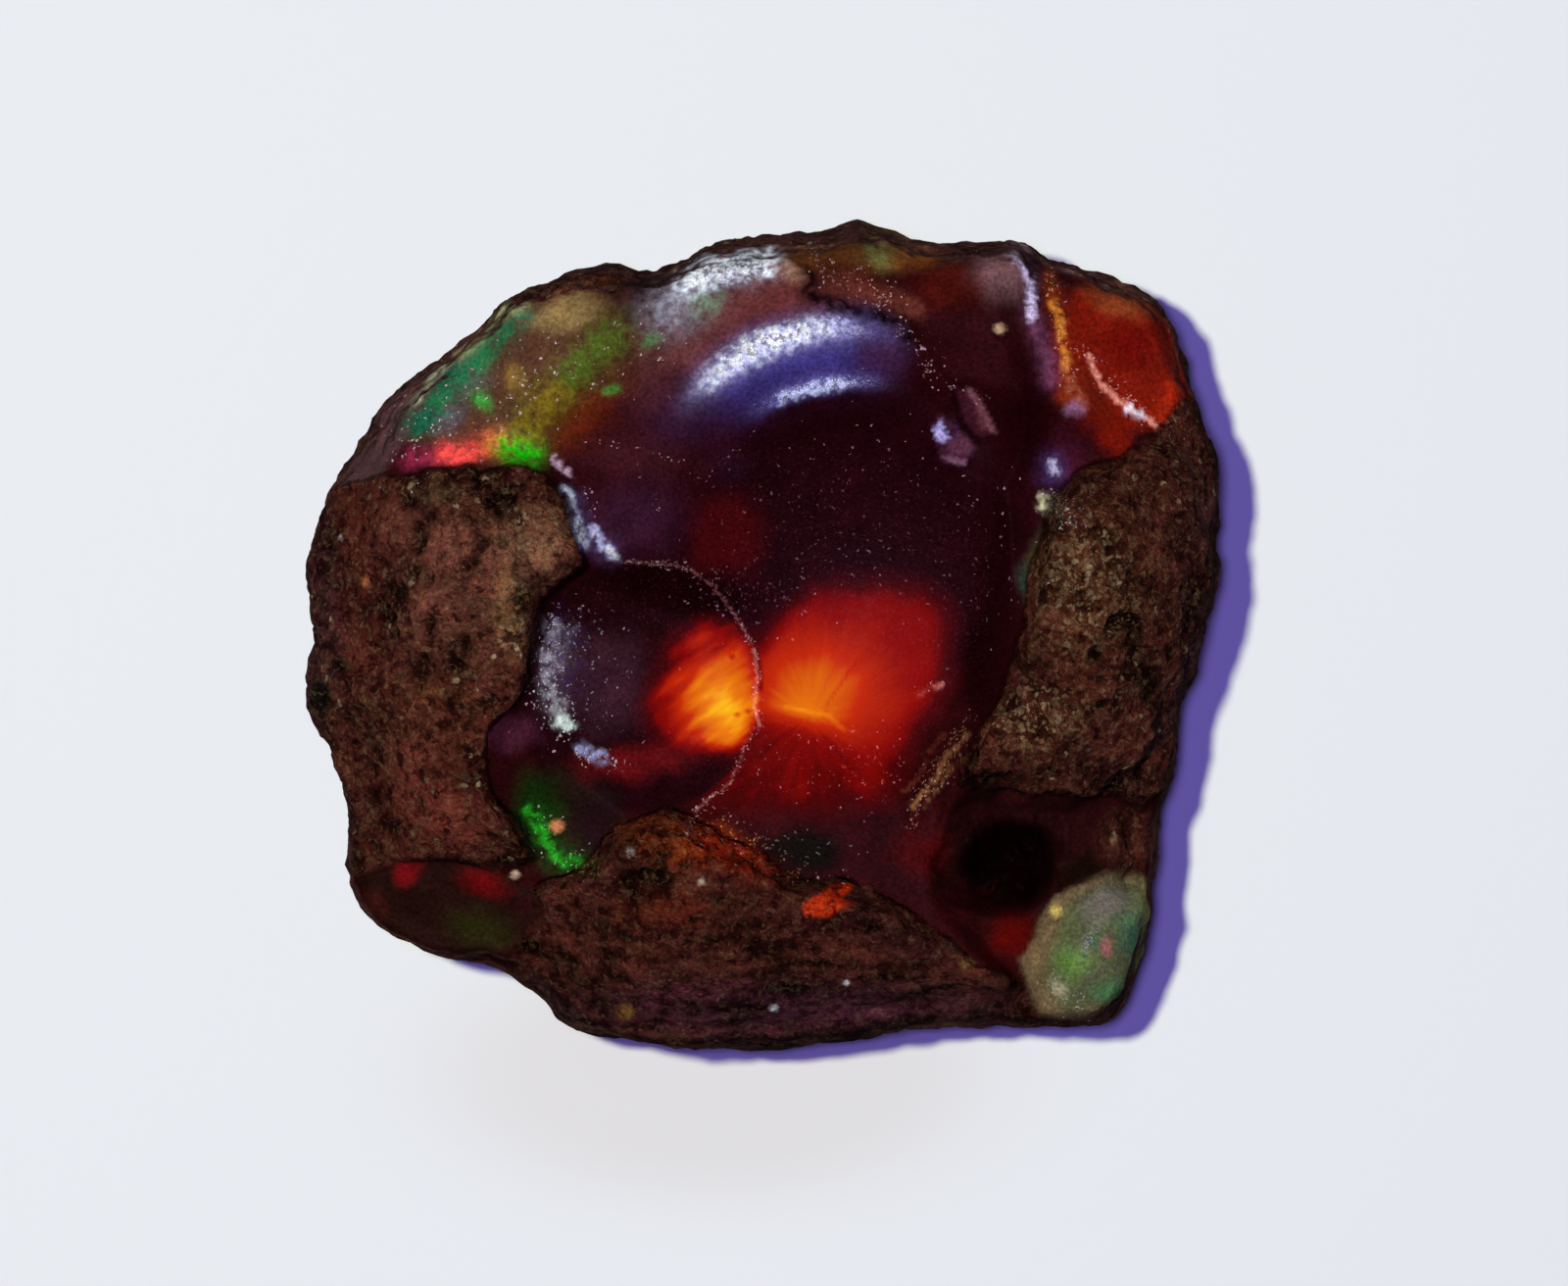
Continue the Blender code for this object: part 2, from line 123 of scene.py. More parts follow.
# Raised lines, which fade out at both ends: (path, height, half width)
LOBE_EDGE = [(8.7, 14.2), (9.4, 11.3), (9.9, 9.7), (10.2, 8.3), (10.1, 5.2)]
FACET_EDGE = [(10.4, 10.2), (12.2, 8.6), (13.9, 7.1)]
CRUSHED_LEDGE = [(1.6, 13.3), (3.4, 11.6), (5.0, 10.7), (5.6, 9.0), (7.6, 8.1)]
FAINT_CREASE = [(-7.9, 5.9), (-4.6, 6.1), (-2.4, 5.2), (-0.6, 6.6)]
SPLINTERS = ([(7.2, -2.8), (6.2, -4.2), (5.4, -5.4), (5.2, -6.6)], [(6.5, -3.0), (5.3, -5.1)])
RIDGES = (
    (LOBE_EDGE, 0.5, 0.55),
    (FACET_EDGE, 0.25, 0.3),
    (CRUSHED_LEDGE, 0.3, 0.35),
    (FAINT_CREASE, 0.12, 0.4),
    (SPLINTERS[0], 0.4, 0.3),
    (SPLINTERS[1], 0.3, 0.22),
)

# Dished breaks: (centre x, centre y, depth there, lean in x, lean in y, radius of curvature)
BACK_RIGHT_FACET = (12.3, 9.6, 4.6, -0.30, -0.10, 12.0)
BACK_RIGHT_CHIP = (11.6, 7.4, 3.9, 0.10, 0.45, 6.0)
FRONT_LEFT_WINDOW = (-11.2, -9.4, 5.3, 0.16, 0.52, 11.0)
BACK_LEFT_WINDOW = (-9.4, 8.3, 3.2, 0.30, -0.34, 40.0)
GREEN_DIP = (-6.6, -6.3, 4.6, 0.16, 0.30, 3.2)
FRONT_RIGHT_PIT = (8.6, -7.9, 6.0, 0.12, -0.14, 1.2)
BOWL_CHIPS = ((6.7, 6.9, 4.3, -0.40, 0.20, 1.9), (7.3, 7.7, 4.05, 0.30, 0.25, 1.3))

# Front right corner: the ground there lies lower, under the undercut edge of the right rock
LOW_CORNER = [
    (6.6, -5.1), (7.8, -5.7), (9.2, -5.0), (10.6, -5.6), (12.0, -5.1), (13.2, -5.8), (20.0, -5.4),
    (20.0, -20.0), (9.5, -20.0), (8.4, -11.6), (6.0, -9.0),
]
LOW_CORNER_DEPTH = 2.3

# Domed lumps: (centre x, centre y, depth of its top, radius along, radius across, height, turn in degrees)
RIGHT_LUMP = (11.6, 1.6, 0.3, 6.2, 4.4, 4.8, 82.0)
RIGHT_LOWER_LUMP = (10.4, -2.2, 1.1, 4.0, 3.4, 4.2, 20.0)
LEFT_LUMP = (-9.7, 2.6, 1.2, 5.6, 4.2, 4.9, 100.0)
GREEN_KNOB = (11.3, -10.9, 4.2, 2.9, 2.0, 3.0, 58.0)

# Fine relief that only this mesh carries
SPHERE_STEPS = 7
FINE_ABOVE = 0.05  # the sphere's triangles above this height are split once more
EVEN_SHARE = 0.7  # share of the way to the rim over which the triangles keep one size
ROCK_LUMPS = 0.22
ROCK_CRUMBS = 0.17
ROCK_GRAIN = 0.05
FRONT_CALM = 0.5  # how much smoother the rock is along the front
OPAL_WAVES = 0.02
SKIN_SHARE = 0.7  # how rough the outer skin is beside the rock of the broken face
PITS = (  # (centre x, centre y, half length, half width, turn, depth)
    (12.4, 0.6, 0.8, 0.45, 20.0, 0.8),
    (11.4, -0.5, 0.5, 0.4, 60.0, 0.35),
    (-14.2, -3.6, 0.3, 0.17, 0.0, 0.6),
    (-3.7, -8.2, 1.1, 0.38, -6.0, 0.6),
    (-8.9, 3.4, 0.4, 0.36, 0.0, 0.35),
    (-9.1, 4.9, 0.8, 0.25, 6.0, 0.35),
    (-11.4, 0.65, 0.3, 0.5, 0.0, 0.3),
    (1.6, -11.3, 1.1, 0.14, 2.0, 0.25),
)
GRAINS = (  # (centre x, centre y, radius, height, colour)
    (8.2, 10.6, 0.24, 0.16, (190, 150, 120)),
    (-7.15, -6.65, 0.3, 0.2, (196, 122, 76)),
    (-4.55, -7.5, 0.18, 0.15, (226, 216, 206)),
    (-2.1, -8.5, 0.14, 0.08, (230, 210, 180)),
    (-4.8, -13.1, 0.4, 0.15, (124, 84, 40)),
    (10.2, -9.6, 0.27, 0.22, (208, 180, 92)),
    (12.2, -7.1, 0.18, 0.1, (186, 146, 98)),
    (7.05, -11.4, 0.3, 0.1, (132, 92, 52)),
    (-8.6, -8.3, 0.18, 0.1, (196, 166, 136)),
    (2.9, -12.05, 0.13, 0.05, (240, 240, 240)),
    (0.4, -12.95, 0.17, 0.05, (232, 230, 236)),
    (-13.8, 1.85, 0.2, 0.1, (186, 108, 60)),
    (-14.7, 3.4, 0.1, 0.05, (226, 222, 216)),
)
GOLD_AREAS = (  # rock with many golden crumbs: (centre x, centre y, half length, half width)
    (11.0, 1.8, 2.6, 2.8),
    (9.4, -3.0, 2.4, 1.6),
    (-8.7, 0.9, 0.9, 2.3),
    (-7.9, 3.4, 1.6, 1.5),
)


def smooth_step(low, high, value):
    """0 below low, 1 above high and an even curve between."""
    t = np.clip((value - low) / (high - low), 0.0, 1.0)
    return t * t * (3.0 - 2.0 * t)


def smooth_min(a, b, width):
    """The lower of two heights, rounded where they meet."""
    share = np.clip(0.5 + 0.5 * (b - a) / width, 0.0, 1.0)
    return b + (a - b) * share - width * share * (1.0 - share)


def smooth_max(a, b, width):
    return -smooth_min(-a, -b, width)


def fractal(x, y, z, size, octaves, seed):
    """Smooth noise of about -1 to 1, with its largest lumps about as wide as size."""
    shift = Vector((seed * 17.3, seed * 5.1, seed * 9.7))
    points = zip((x / size).tolist(), (y / size).tolist(), (z / size).tolist())
    return np.array([noise.fractal(Vector(p) + shift, 1.0, 2.0, octaves) for p in points])


def path_distance(x, y, path):
    """Distance to the nearest point of an open line, and how far along the line that point is, 0 to 1."""
    nearest = np.full(len(x), 1e9)
    along = np.zeros(len(x))
    pieces = len(path) - 1
    for i, ((ax, ay), (bx, by)) in enumerate(zip(path, path[1:])):
        ex, ey = bx - ax, by - ay
        t = np.clip(((x - ax) * ex + (y - ay) * ey) / (ex * ex + ey * ey), 0.0, 1.0)
        away = np.hypot(x - ax - t * ex, y - ay - t * ey)
        along = np.where(away < nearest, (i + t) / pieces, along)
        nearest = np.minimum(nearest, away)
    return nearest, along


def ridge(x, y, wander, path, high, half_width):
    """A raised line that fades out at both ends."""
    away, along = path_distance(x, y, path)
    taper = np.clip(4.0 * np.minimum(along, 1.0 - along), 0.0, 1.0)
    return high * taper * np.exp(-(((away + 0.15 * wander) / half_width) ** 2))


def inside(x, y, outline):
    """Distance to an outline's nearest edge, positive inside it."""
    within = np.zeros(len(x), bool)
    for (ax, ay), (bx, by) in zip(outline, outline[1:] + outline[:1]):
        if by != ay:
            crosses = (y < ay) != (y < by)
            within ^= crosses & (x < ax + (y - ay) * (bx - ax) / (by - ay))
    nearest = path_distance(x, y, outline + outline[:1])[0]
    return np.where(within, nearest, -nearest)


def rounded_outline(points, steps=12):
    """A closed smooth curve through the points."""
    p = np.array(points)
    before, after, beyond = np.roll(p, 1, 0), np.roll(p, -1, 0), np.roll(p, -2, 0)
    curve = []
    for t in np.arange(steps) / steps:
        curve.append(
            0.5 * (2 * p + (after - before) * t + (2 * before - 5 * p + 4 * after - beyond) * t**2
                   + (3 * p - before - 3 * after + beyond) * t**3)
        )
    return np.stack(curve, 1).reshape(-1, 2)


def outline_radius(angle):
    """How far the widest outline is from the middle, by direction."""
    curve = rounded_outline(OUTLINE)
    directions = np.arctan2(curve[:, 1], curve[:, 0])
    order = np.argsort(directions)
    return np.interp(angle, directions[order], np.hypot(*curve[order].T), period=2 * np.pi)


def broad_radius(angle):
    """The same, with the outline's small bends evened out."""
    turns = np.radians(np.linspace(-BROAD_TURN, BROAD_TURN, 9))
    return np.mean([outline_radius(angle + turn) for turn in turns], axis=0)


def shoulder(angle):
    """How square the dome's shoulder is, by direction."""
    directions, squareness = np.array(SHOULDERS).T
    turned = np.degrees(angle) % 360.0
    quarter = np.floor(turned / 90.0) * 90.0
    eased = quarter + 90.0 * smooth_step(0.0, 1.0, (turned - quarter) / 90.0)
    return np.interp(eased, directions, squareness, period=360.0)


def dome(x, y, reach):
    """The unbroken nodule's top. reach is 0 in the middle and 1 at the widest outline."""
    angle = np.arctan2(y, x)
    near_edge = smooth_step(0.72, 1.0, reach)
    even = np.hypot(x, y) / broad_radius(angle)
    eased = np.clip(even + (reach - even) * near_edge, 0.0, 1.0)
    return GIRTH_HEIGHT + (CROWN_HEIGHT - GIRTH_HEIGHT) * (1.0 - eased ** shoulder(angle)) ** 0.45


def dished_plane(x, y, facet):
    """A leaning plane that curves up away from its centre, like the inside of a chipped flake."""
    cx, cy, depth, lean_x, lean_y, curvature = facet
    dx, dy = x - cx, y - cy
    return CROWN_HEIGHT - depth + lean_x * dx + lean_y * dy + (dx * dx + dy * dy) / (2.0 * curvature)


def oval_reach(x, y, cx, cy, along, across, turn):
    """0 at an oval's middle and 1 on its edge."""
    c, s = np.cos(np.radians(turn)), np.sin(np.radians(turn))
    u = ((x - cx) * c + (y - cy) * s) / along
    v = ((y - cy) * c - (x - cx) * s) / across
    return np.hypot(u, v)


def lump_top(x, y, lump):
    """Height of an ellipsoid's upper side, falling away fast outside it."""
    cx, cy, depth, along, across, high, turn = lump
    reach = oval_reach(x, y, cx, cy, along, across, turn) ** 2
    return CROWN_HEIGHT - depth - high + high * np.where(
        reach < 1.0, np.sqrt(np.maximum(1.0 - reach, 0.0)), 1.0 - reach
    )


def hollow(x, y):
    """The wide shell-shaped break: a bowl, and round it a gentle slope with ripples on its back left side."""
    dx, dy = x - HOLLOW_CENTRE[0], y - HOLLOW_CENTRE[1]
    far = np.hypot(dx, dy)
    bowl = CROWN_HEIGHT - BOWL_DEPTH + (BOWL_DEPTH - LIP_DEPTH) * (far / BOWL_RADIUS) ** 2
    slope = CROWN_HEIGHT - LIP_DEPTH + SLOPE_RISE * (far - BOWL_RADIUS)
    across, along = x - RIPPLE_CENTRE[0], y - RIPPLE_CENTRE[1]
    turned = np.degrees(np.arctan2(along, across))
    start, full, fade, end = RIPPLE_SWEEP
    sweep = smooth_step(start, full, turned) * (1.0 - smooth_step(fade, end, turned))
    for crest in RIPPLE_CRESTS:
        slope += RIPPLE_HEIGHT * sweep * np.exp(-(((np.hypot(across, along) - crest) / RIPPLE_WIDTH) ** 2))
    return smooth_min(bowl, slope, 0.35)


def round_scar(x, y):
    """The round break beside the hollow: a dish with a swelling on its floor."""
    dx, dy = x - SCAR_CENTRE[0], y - SCAR_CENTRE[1]
    rim = CROWN_HEIGHT - SCAR_RIM_DEPTH + SCAR_LEAN[0] * dx + SCAR_LEAN[1] * dy
    dish = rim + SCAR_SAG * ((np.hypot(dx, dy) / SCAR_RADIUS) ** 2.5 - 1.0)
    u = (x - SWELLING_CENTRE[0]) / SWELLING_RADII[0]
    v = (y - SWELLING_CENTRE[1]) / SWELLING_RADII[1]
    return dish + SWELLING_HEIGHT * np.exp(-((u * u + v * v) ** 1.5))


def rock_mask(x, y, wander):
    """1 on the patches of host rock and 0 on bare opal, with uneven edges."""
    patches = (LEFT_ROCK, RIGHT_ROCK, FRONT_ROCK, BACK_ROCK)
    depth = np.maximum.reduce([inside(x, y, patch) for patch in patches])
    return smooth_step(-ROCK_EDGE, ROCK_EDGE, depth + 0.25 * wander)


def opal_height(x, y, unbroken, wander):
    """The bare opal: smooth breaks that meet in sharp edges."""
    height = hollow(x, y)
    for patch, rise, width in FLANKS:
        height += rise * smooth_step(-width, 0.0, inside(x, y, patch)) ** 1.5
    height = smooth_min(unbroken, height, 0.5)
    height += LOBE_HEIGHT * smooth_step(-0.3, 0.3, inside(x, y, LOBE) + 0.2 * wander)
    height = smooth_min(height, dished_plane(x, y, BACK_LEFT_WINDOW), 0.6)
    for path, high, half_width in RIDGES:
        height += ridge(x, y, wander, path, high, half_width)
    for chip in (BACK_RIGHT_FACET, BACK_RIGHT_CHIP, *BOWL_CHIPS):
        height = smooth_min(height, dished_plane(x, y, chip), 0.08)
    height = smooth_min(height, round_scar(x, y), 0.08)
    return smooth_min(height, dished_plane(x, y, GREEN_DIP), 0.3)


def rock_height(x, y, unbroken, wander):
    """The host rock: lumpy, and close under the unbroken dome."""
    flat = np.zeros(len(x))
    height = unbroken - ROCK_DEPTH + 0.4 * fractal(x, y, flat, 3.4, 5, 2)
    for lump in (RIGHT_LUMP, RIGHT_LOWER_LUMP, LEFT_LUMP):
        height = smooth_max(height, lump_top(x, y, lump) + 0.3 * wander, 1.2)
    return smooth_min(height, unbroken + 0.6, 0.8)


def top_height(x, y, reach, wander):
    """Height of the broken face."""
    unbroken = dome(x, y, reach)
    opal = opal_height(x, y, unbroken, wander)
    rock = rock_height(x, y, unbroken, wander)
    height = opal + (rock - opal) * rock_mask(x, y, wander)

    low = smooth_step(-0.35, 0.35, inside(x, y, LOW_CORNER) + 0.3 * wander)
    height += (unbroken - LOW_CORNER_DEPTH + 0.3 * wander - height) * low
    height = smooth_min(height, dished_plane(x, y, FRONT_LEFT_WINDOW), 0.1)
    height = smooth_min(height, dished_plane(x, y, FRONT_RIGHT_PIT) + 1.1 * wander, 0.5)
    height = smooth_max(height, lump_top(x, y, GREEN_KNOB), 0.25)
    # Whatever the break did, the face comes down to the widest outline.
    rim = smooth_step(0.93, 1.0, reach)
    return height + (unbroken - height) * rim


def outward_lumps(points, nz):
    """Uneven knobs on the sides and the underside, which fade out before the broken face."""
    x, y, z = points.T
    side = 1.0 - smooth_step(0.25, 0.6, nz)
    amount = side * (0.30 * fractal(x, y, z, 4.2, 4, 3) + 0.12 * fractal(x, y, z, 1.5, 3, 4))
    outward = points - np.array([0.0, 0.0, GIRTH_HEIGHT])
    outward /= np.maximum(np.linalg.norm(outward, axis=1, keepdims=True), 1e-6)
    return outward * amount[:, None]


def fine_sphere():
    """A sphere mesh of even triangles, split once more on its upper half."""
    bm = bmesh.new()
    bmesh.ops.create_icosphere(bm, subdivisions=SPHERE_STEPS, radius=1.0)
    upper = [e for e in bm.edges if min(v.co.z for v in e.verts) > FINE_ABOVE]
    bmesh.ops.subdivide_edges(bm, edges=upper, cuts=1, use_grid_fill=True)
    bmesh.ops.triangulate(bm, faces=[f for f in bm.faces if len(f.verts) > 3])
    mesh = bpy.data.meshes.new("opal_surface")
    bm.to_mesh(mesh)
    bm.free()
    return mesh


def mesh_points(mesh):
    co = np.empty(len(mesh.vertices) * 3)
    mesh.vertices.foreach_get("co", co)
    return co.reshape(-1, 3)


def set_points(mesh, points):
    mesh.vertices.foreach_set("co", points.astype(np.float32).ravel())
    mesh.update()


def mesh_normals(mesh):
    normals = np.empty(len(mesh.vertices) * 3)
    mesh.vertex_normals.foreach_get("vector", normals)
    return normals.reshape(-1, 3)


def reach_from_tilt(tilt):
    """Share of the way to the rim, from the share of a quarter turn: even steps, then finer ones."""
    pace = 2.0 / (1.0 + EVEN_SHARE)
    close = 1.0 - pace * (1.0 - tilt) ** 2 / (2.0 * (1.0 - EVEN_SHARE))
    return np.where(tilt < EVEN_SHARE, pace * tilt, close)


def stone_surface(mesh):
    """Moves a sphere's points onto the stone. Returns them, their nz and reach, and the wander noise."""
    directions = mesh_points(mesh)
    directions /= np.linalg.norm(directions, axis=1, keepdims=True)
    angle = np.arctan2(directions[:, 1], directions[:, 0])
    reach = reach_from_tilt(1.0 - np.abs(np.arcsin(np.clip(directions[:, 2], -1.0, 1.0))) / (np.pi / 2))
    reach = np.clip(reach, 0.0, 1.0)
    nz = np.sign(directions[:, 2]) * np.sqrt(1.0 - reach**2)
    radius = outline_radius(angle)
    x, y = radius * reach * np.cos(angle), radius * reach * np.sin(angle)
    wander = fractal(x, y, np.zeros(len(x)), 1.6, 4, 1)
    upper = top_height(x, y, reach, wander)
    lower = GIRTH_HEIGHT - SOLE_DEPTH * (1.0 - reach**BELLY) ** 0.5
    points = np.stack([x, y, np.where(nz >= 0.0, upper, lower)], 1)
    return points + outward_lumps(points, nz), nz, reach, wander


def oval(x, y, cx, cy, along, across, turn=0.0, soft=0.5):
    """1 inside an oval, fading to 0 at its edge. soft is the share of its radius that fades."""
    return 1.0 - smooth_step(1.0 - soft, 1.0, oval_reach(x, y, cx, cy, along, across, turn))


def fine_relief(x, y, z, rock, wander):
    """How far the finished surface stands out from the plain one."""
    crumbs = np.abs(fractal(x, y, z, 0.75, 3, 6))
    rough = (
        ROCK_LUMPS * fractal(x, y, z, 1.9, 3, 5) + ROCK_CRUMBS * (0.5 - 1.6 * crumbs)
        + ROCK_GRAIN * fractal(x, y, z, 0.22, 2, 7)
    )
    calm = 1.0 - FRONT_CALM * smooth_step(-7.5, -9.5, y)
    relief = rock * calm * rough + (1.0 - rock) * OPAL_WAVES * fractal(x, y, z, 2.6, 3, 8)
    for cx, cy, along, across, turn, depth in PITS:
        relief -= depth * oval(x + 0.2 * wander, y, cx, cy, along, across, turn, 0.8)
    for cx, cy, radius, high, _ in GRAINS:
        relief += high * oval(x, y, cx, cy, radius, radius, 0.0, 0.7)
    return relief


def tint(red, green, blue):
    """A colour given as 0 to 255, in linear light."""
    c = np.array([red, green, blue]) / 255.0
    return np.where(c <= 0.04045, c / 12.92, ((c + 0.055) / 1.055) ** 2.4)


# Body colours of the bare opal, painted in order:
# (centre x, centre y, half length, half width, turn, softness, colour, strength)
OPAL_TINTS = (
    # the hollow: dark maroon, with redder and more violet stretches round it
    (3.5, 3.7, 9.0, 7.5, 0.0, 0.5, (32, 4, 10), 1.0),
    (9.0, 7.6, 1.6, 2.9, 0.0, 0.8, (25, 1, 5), 0.9),
    (7.6, -1.0, 1.3, 3.2, 0.0, 0.8, (18, 1, 4), 0.9),
    (8.1, 3.0, 1.2, 2.8, 0.0, 0.9, (26, 2, 6), 0.8),
    (-4.4, 6.4, 2.7, 1.4, 0.0, 0.8, (60, 20, 26), 0.9),
    (-4.4, 4.0, 2.6, 2.2, 0.0, 0.9, (50, 18, 38), 0.9),
    (-1.25, 3.5, 1.8, 2.2, 0.0, 0.9, (76, 7, 9), 0.85),
    (-2.7, 7.5, 2.2, 1.6, 0.0, 0.9, (50, 20, 44), 0.8),
    (-1.2, 5.9, 1.2, 0.9, 0.0, 0.9, (44, 14, 30), 0.7),
    # ground behind the ripples
    (-1.0, 10.8, 4.6, 2.0, 14.0, 0.6, (98, 48, 46), 0.95),
    (-3.5, 9.8, 2.4, 1.3, 38.0, 0.8, (92, 48, 46), 0.85),
    (0.2, 11.8, 2.4, 0.9, 5.0, 0.8, (106, 50, 48), 0.9),
    (-3.8, 8.4, 1.9, 1.2, 30.0, 0.9, (66, 28, 36), 0.85),
    # back left window: brown ground, teal edge, green and yellow fire
    (-8.6, 9.0, 4.8, 3.2, 44.0, 0.4, (88, 54, 38), 1.0),
    (-6.8, 11.1, 1.9, 0.9, 15.0, 0.8, (146, 118, 72), 0.95),
    (-10.2, 8.5, 1.2, 1.0, 40.0, 0.9, (84, 76, 70), 0.85),
    (-10.9, 7.5, 1.1, 0.6, 20.0, 0.9, (92, 84, 96), 0.8),
    (-11.9, 7.6, 0.9, 0.7, 40.0, 0.8, (24, 66, 68), 0.95),
    (-6.5, 7.8, 2.3, 1.7, 40.0, 0.8, (84, 28, 10), 0.95),
    (-5.1, 8.7, 1.4, 1.1, 40.0, 0.9, (78, 32, 22), 0.8),
    (-8.5, 8.8, 0.7, 0.8, 30.0, 0.8, (136, 102, 48), 0.85),
    # olive and amber strip along the back rim
    (2.5, 13.4, 6.0, 1.3, 0.0, 0.5, (78, 42, 17), 1.0),
    (5.2, 13.2, 1.4, 0.8, -6.0, 0.9, (122, 62, 18), 0.85),
    (6.4, 12.1, 1.7, 1.3, -10.0, 0.8, (72, 16, 10), 0.9),
    (1.0, 12.6, 0.6, 0.25, 0.0, 0.8, (154, 112, 92), 0.8),
    # the crushed ledge and the lobe
    (3.2, 12.0, 1.8, 0.9, -25.0, 0.8, (66, 22, 16), 0.9),
    (6.0, 9.6, 1.6, 1.6, 0.0, 0.9, (40, 6, 10), 0.9),
    (8.3, 12.5, 1.6, 1.5, -30.0, 0.9, (122, 84, 86), 0.9),
    (8.5, 10.9, 1.2, 1.0, 0.0, 0.9, (46, 14, 16), 0.8),
    # back right facet and the broken ground below it
    (12.5, 9.8, 3.0, 3.2, 0.0, 0.3, (118, 22, 9), 1.0),
    (12.4, 11.6, 1.9, 0.7, -15.0, 0.8, (136, 62, 30), 0.9),
    (12.75, 10.1, 1.3, 1.1, -30.0, 0.9, (104, 10, 6), 0.9),
    (13.9, 11.2, 0.8, 0.7, -40.0, 0.9, (110, 50, 36), 0.7),
    (11.3, 8.4, 0.8, 1.5, 35.0, 0.8, (100, 24, 12), 0.85),
    (12.2, 6.9, 0.8, 0.9, 0.0, 0.7, (124, 22, 7), 0.95),
    (10.6, 6.2, 0.9, 1.5, 0.0, 0.8, (62, 16, 32), 0.95),
    (10.75, 7.85, 0.5, 0.4, 0.0, 0.9, (150, 104, 140), 0.85),
    (9.5, 2.0, 0.65, 2.2, -5.0, 0.8, (66, 58, 36), 0.95),
    (9.1, 1.8, 0.4, 1.1, 0.0, 0.9, (40, 52, 42), 0.9),
    # the scar: dark upper crescent, a painted shadow under its rim; grey violet swelling, with a paler painted
    # sheen on its left; violet corner
    (-4.4, -1.8, 4.5, 4.5, 0.0, 0.06, (32, 5, 10), 1.0),
    (-5.6, -1.6, 2.6, 2.5, 0.0, 0.7, (58, 28, 38), 0.95),
    (-7.1, -1.2, 1.1, 2.0, -12.0, 0.9, (80, 58, 70), 0.85),
    (-3.6, -1.5, 1.0, 2.2, 10.0, 0.9, (44, 8, 12), 0.9),
    (-3.2, 1.6, 3.5, 1.15, -10.0, 0.6, (20, 1, 3), 1.0),
    (-8.7, -3.3, 1.5, 1.0, -8.0, 0.7, (76, 30, 46), 0.95),
    (-4.7, -4.4, 2.8, 0.9, 5.0, 0.8, (98, 14, 16), 0.9),
    # green dip, and the ground between the scar and the front shelf
    (-6.8, -6.5, 2.9, 2.2, -35.0, 0.5, (34, 20, 14), 1.0),
    (-7.8, -5.7, 1.5, 1.2, -45.0, 0.8, (22, 44, 10), 0.95),
    (-5.7, -6.6, 1.1, 1.7, 0.0, 0.8, (34, 14, 20), 0.9),
    (-1.3, -7.4, 1.7, 1.1, -28.0, 0.8, (124, 42, 15), 0.95),
    # the hollow's front: dark red, then a dark green speckled patch
    (-0.3, -5.3, 1.6, 1.5, 0.0, 0.8, (48, 4, 5), 0.85),
    (2.4, -4.9, 3.0, 1.5, 0.0, 0.8, (56, 4, 4), 0.9),
    (5.0, -4.6, 1.4, 1.9, 0.0, 0.9, (44, 3, 4), 0.85),
    (1.6, -7.5, 1.9, 1.05, 0.0, 0.7, (16, 11, 7), 1.0),
    (4.2, -8.3, 1.2, 0.9, -20.0, 0.9, (40, 8, 10), 0.9),
    # front right: red walled pit, near black deep inside as painted shade; olive ground, pale green knob
    (9.0, -8.2, 4.2, 3.8, 0.0, 0.4, (42, 12, 12), 1.0),
    (5.6, -7.4, 1.4, 1.3, 0.0, 0.9, (76, 8, 8), 0.9),
    (6.6, -9.6, 1.4, 1.6, -30.0, 0.9, (50, 8, 9), 0.85),
    (8.6, -7.9, 2.8, 2.5, 0.0, 0.6, (9, 1, 1), 1.0),
    (8.7, -10.3, 1.1, 0.9, 20.0, 0.9, (84, 10, 4), 0.85),
    (11.2, -8.1, 1.3, 0.9, 0.0, 0.8, (28, 15, 7), 0.95),
    (12.7, -7.2, 0.9, 1.2, 0.0, 0.9, (62, 24, 24), 0.85),
    (11.4, -10.9, 3.05, 2.15, 58.0, 0.12, (116, 96, 66), 1.0),
    (11.7, -10.85, 2.85, 1.9, 58.0, 0.3, (92, 96, 62), 1.0),
    (10.7, -11.4, 0.9, 0.9, 40.0, 0.9, (84, 116, 50), 0.9),
    (12.9, -10.5, 0.7, 1.3, 20.0, 0.9, (74, 122, 88), 0.85),
    (12.0, -12.3, 0.9, 0.7, 20.0, 0.9, (84, 140, 84), 0.85),
    (11.7, -10.6, 0.6, 0.6, 0.0, 0.9, (58, 92, 56), 0.8),
    (11.95, -9.4, 1.1, 0.9, 20.0, 0.9, (130, 118, 110), 0.9),
    (11.95, -10.75, 0.35, 0.45, 0.0, 0.9, (172, 104, 98), 0.9),
    (10.2, -12.2, 0.6, 0.35, -40.0, 0.9, (176, 166, 134), 0.7),
    # front left window
    (-11.05, -9.35, 3.5, 1.85, -6.0, 0.12, (34, 15, 11), 1.0),
    (-13.7, -9.4, 0.9, 1.1, 0.0, 0.9, (66, 22, 18), 0.9),
    (-12.3, -8.1, 0.7, 0.75, 0.0, 0.9, (122, 12, 20), 0.85),
    (-9.7, -8.6, 1.3, 0.75, -20.0, 0.9, (112, 8, 12), 0.85),
    (-8.3, -9.4, 0.5, 1.0, 0.0, 0.9, (44, 12, 12), 0.8),
    (-9.8, -10.2, 2.0, 1.0, -8.0, 0.9, (46, 42, 14), 0.85),
)
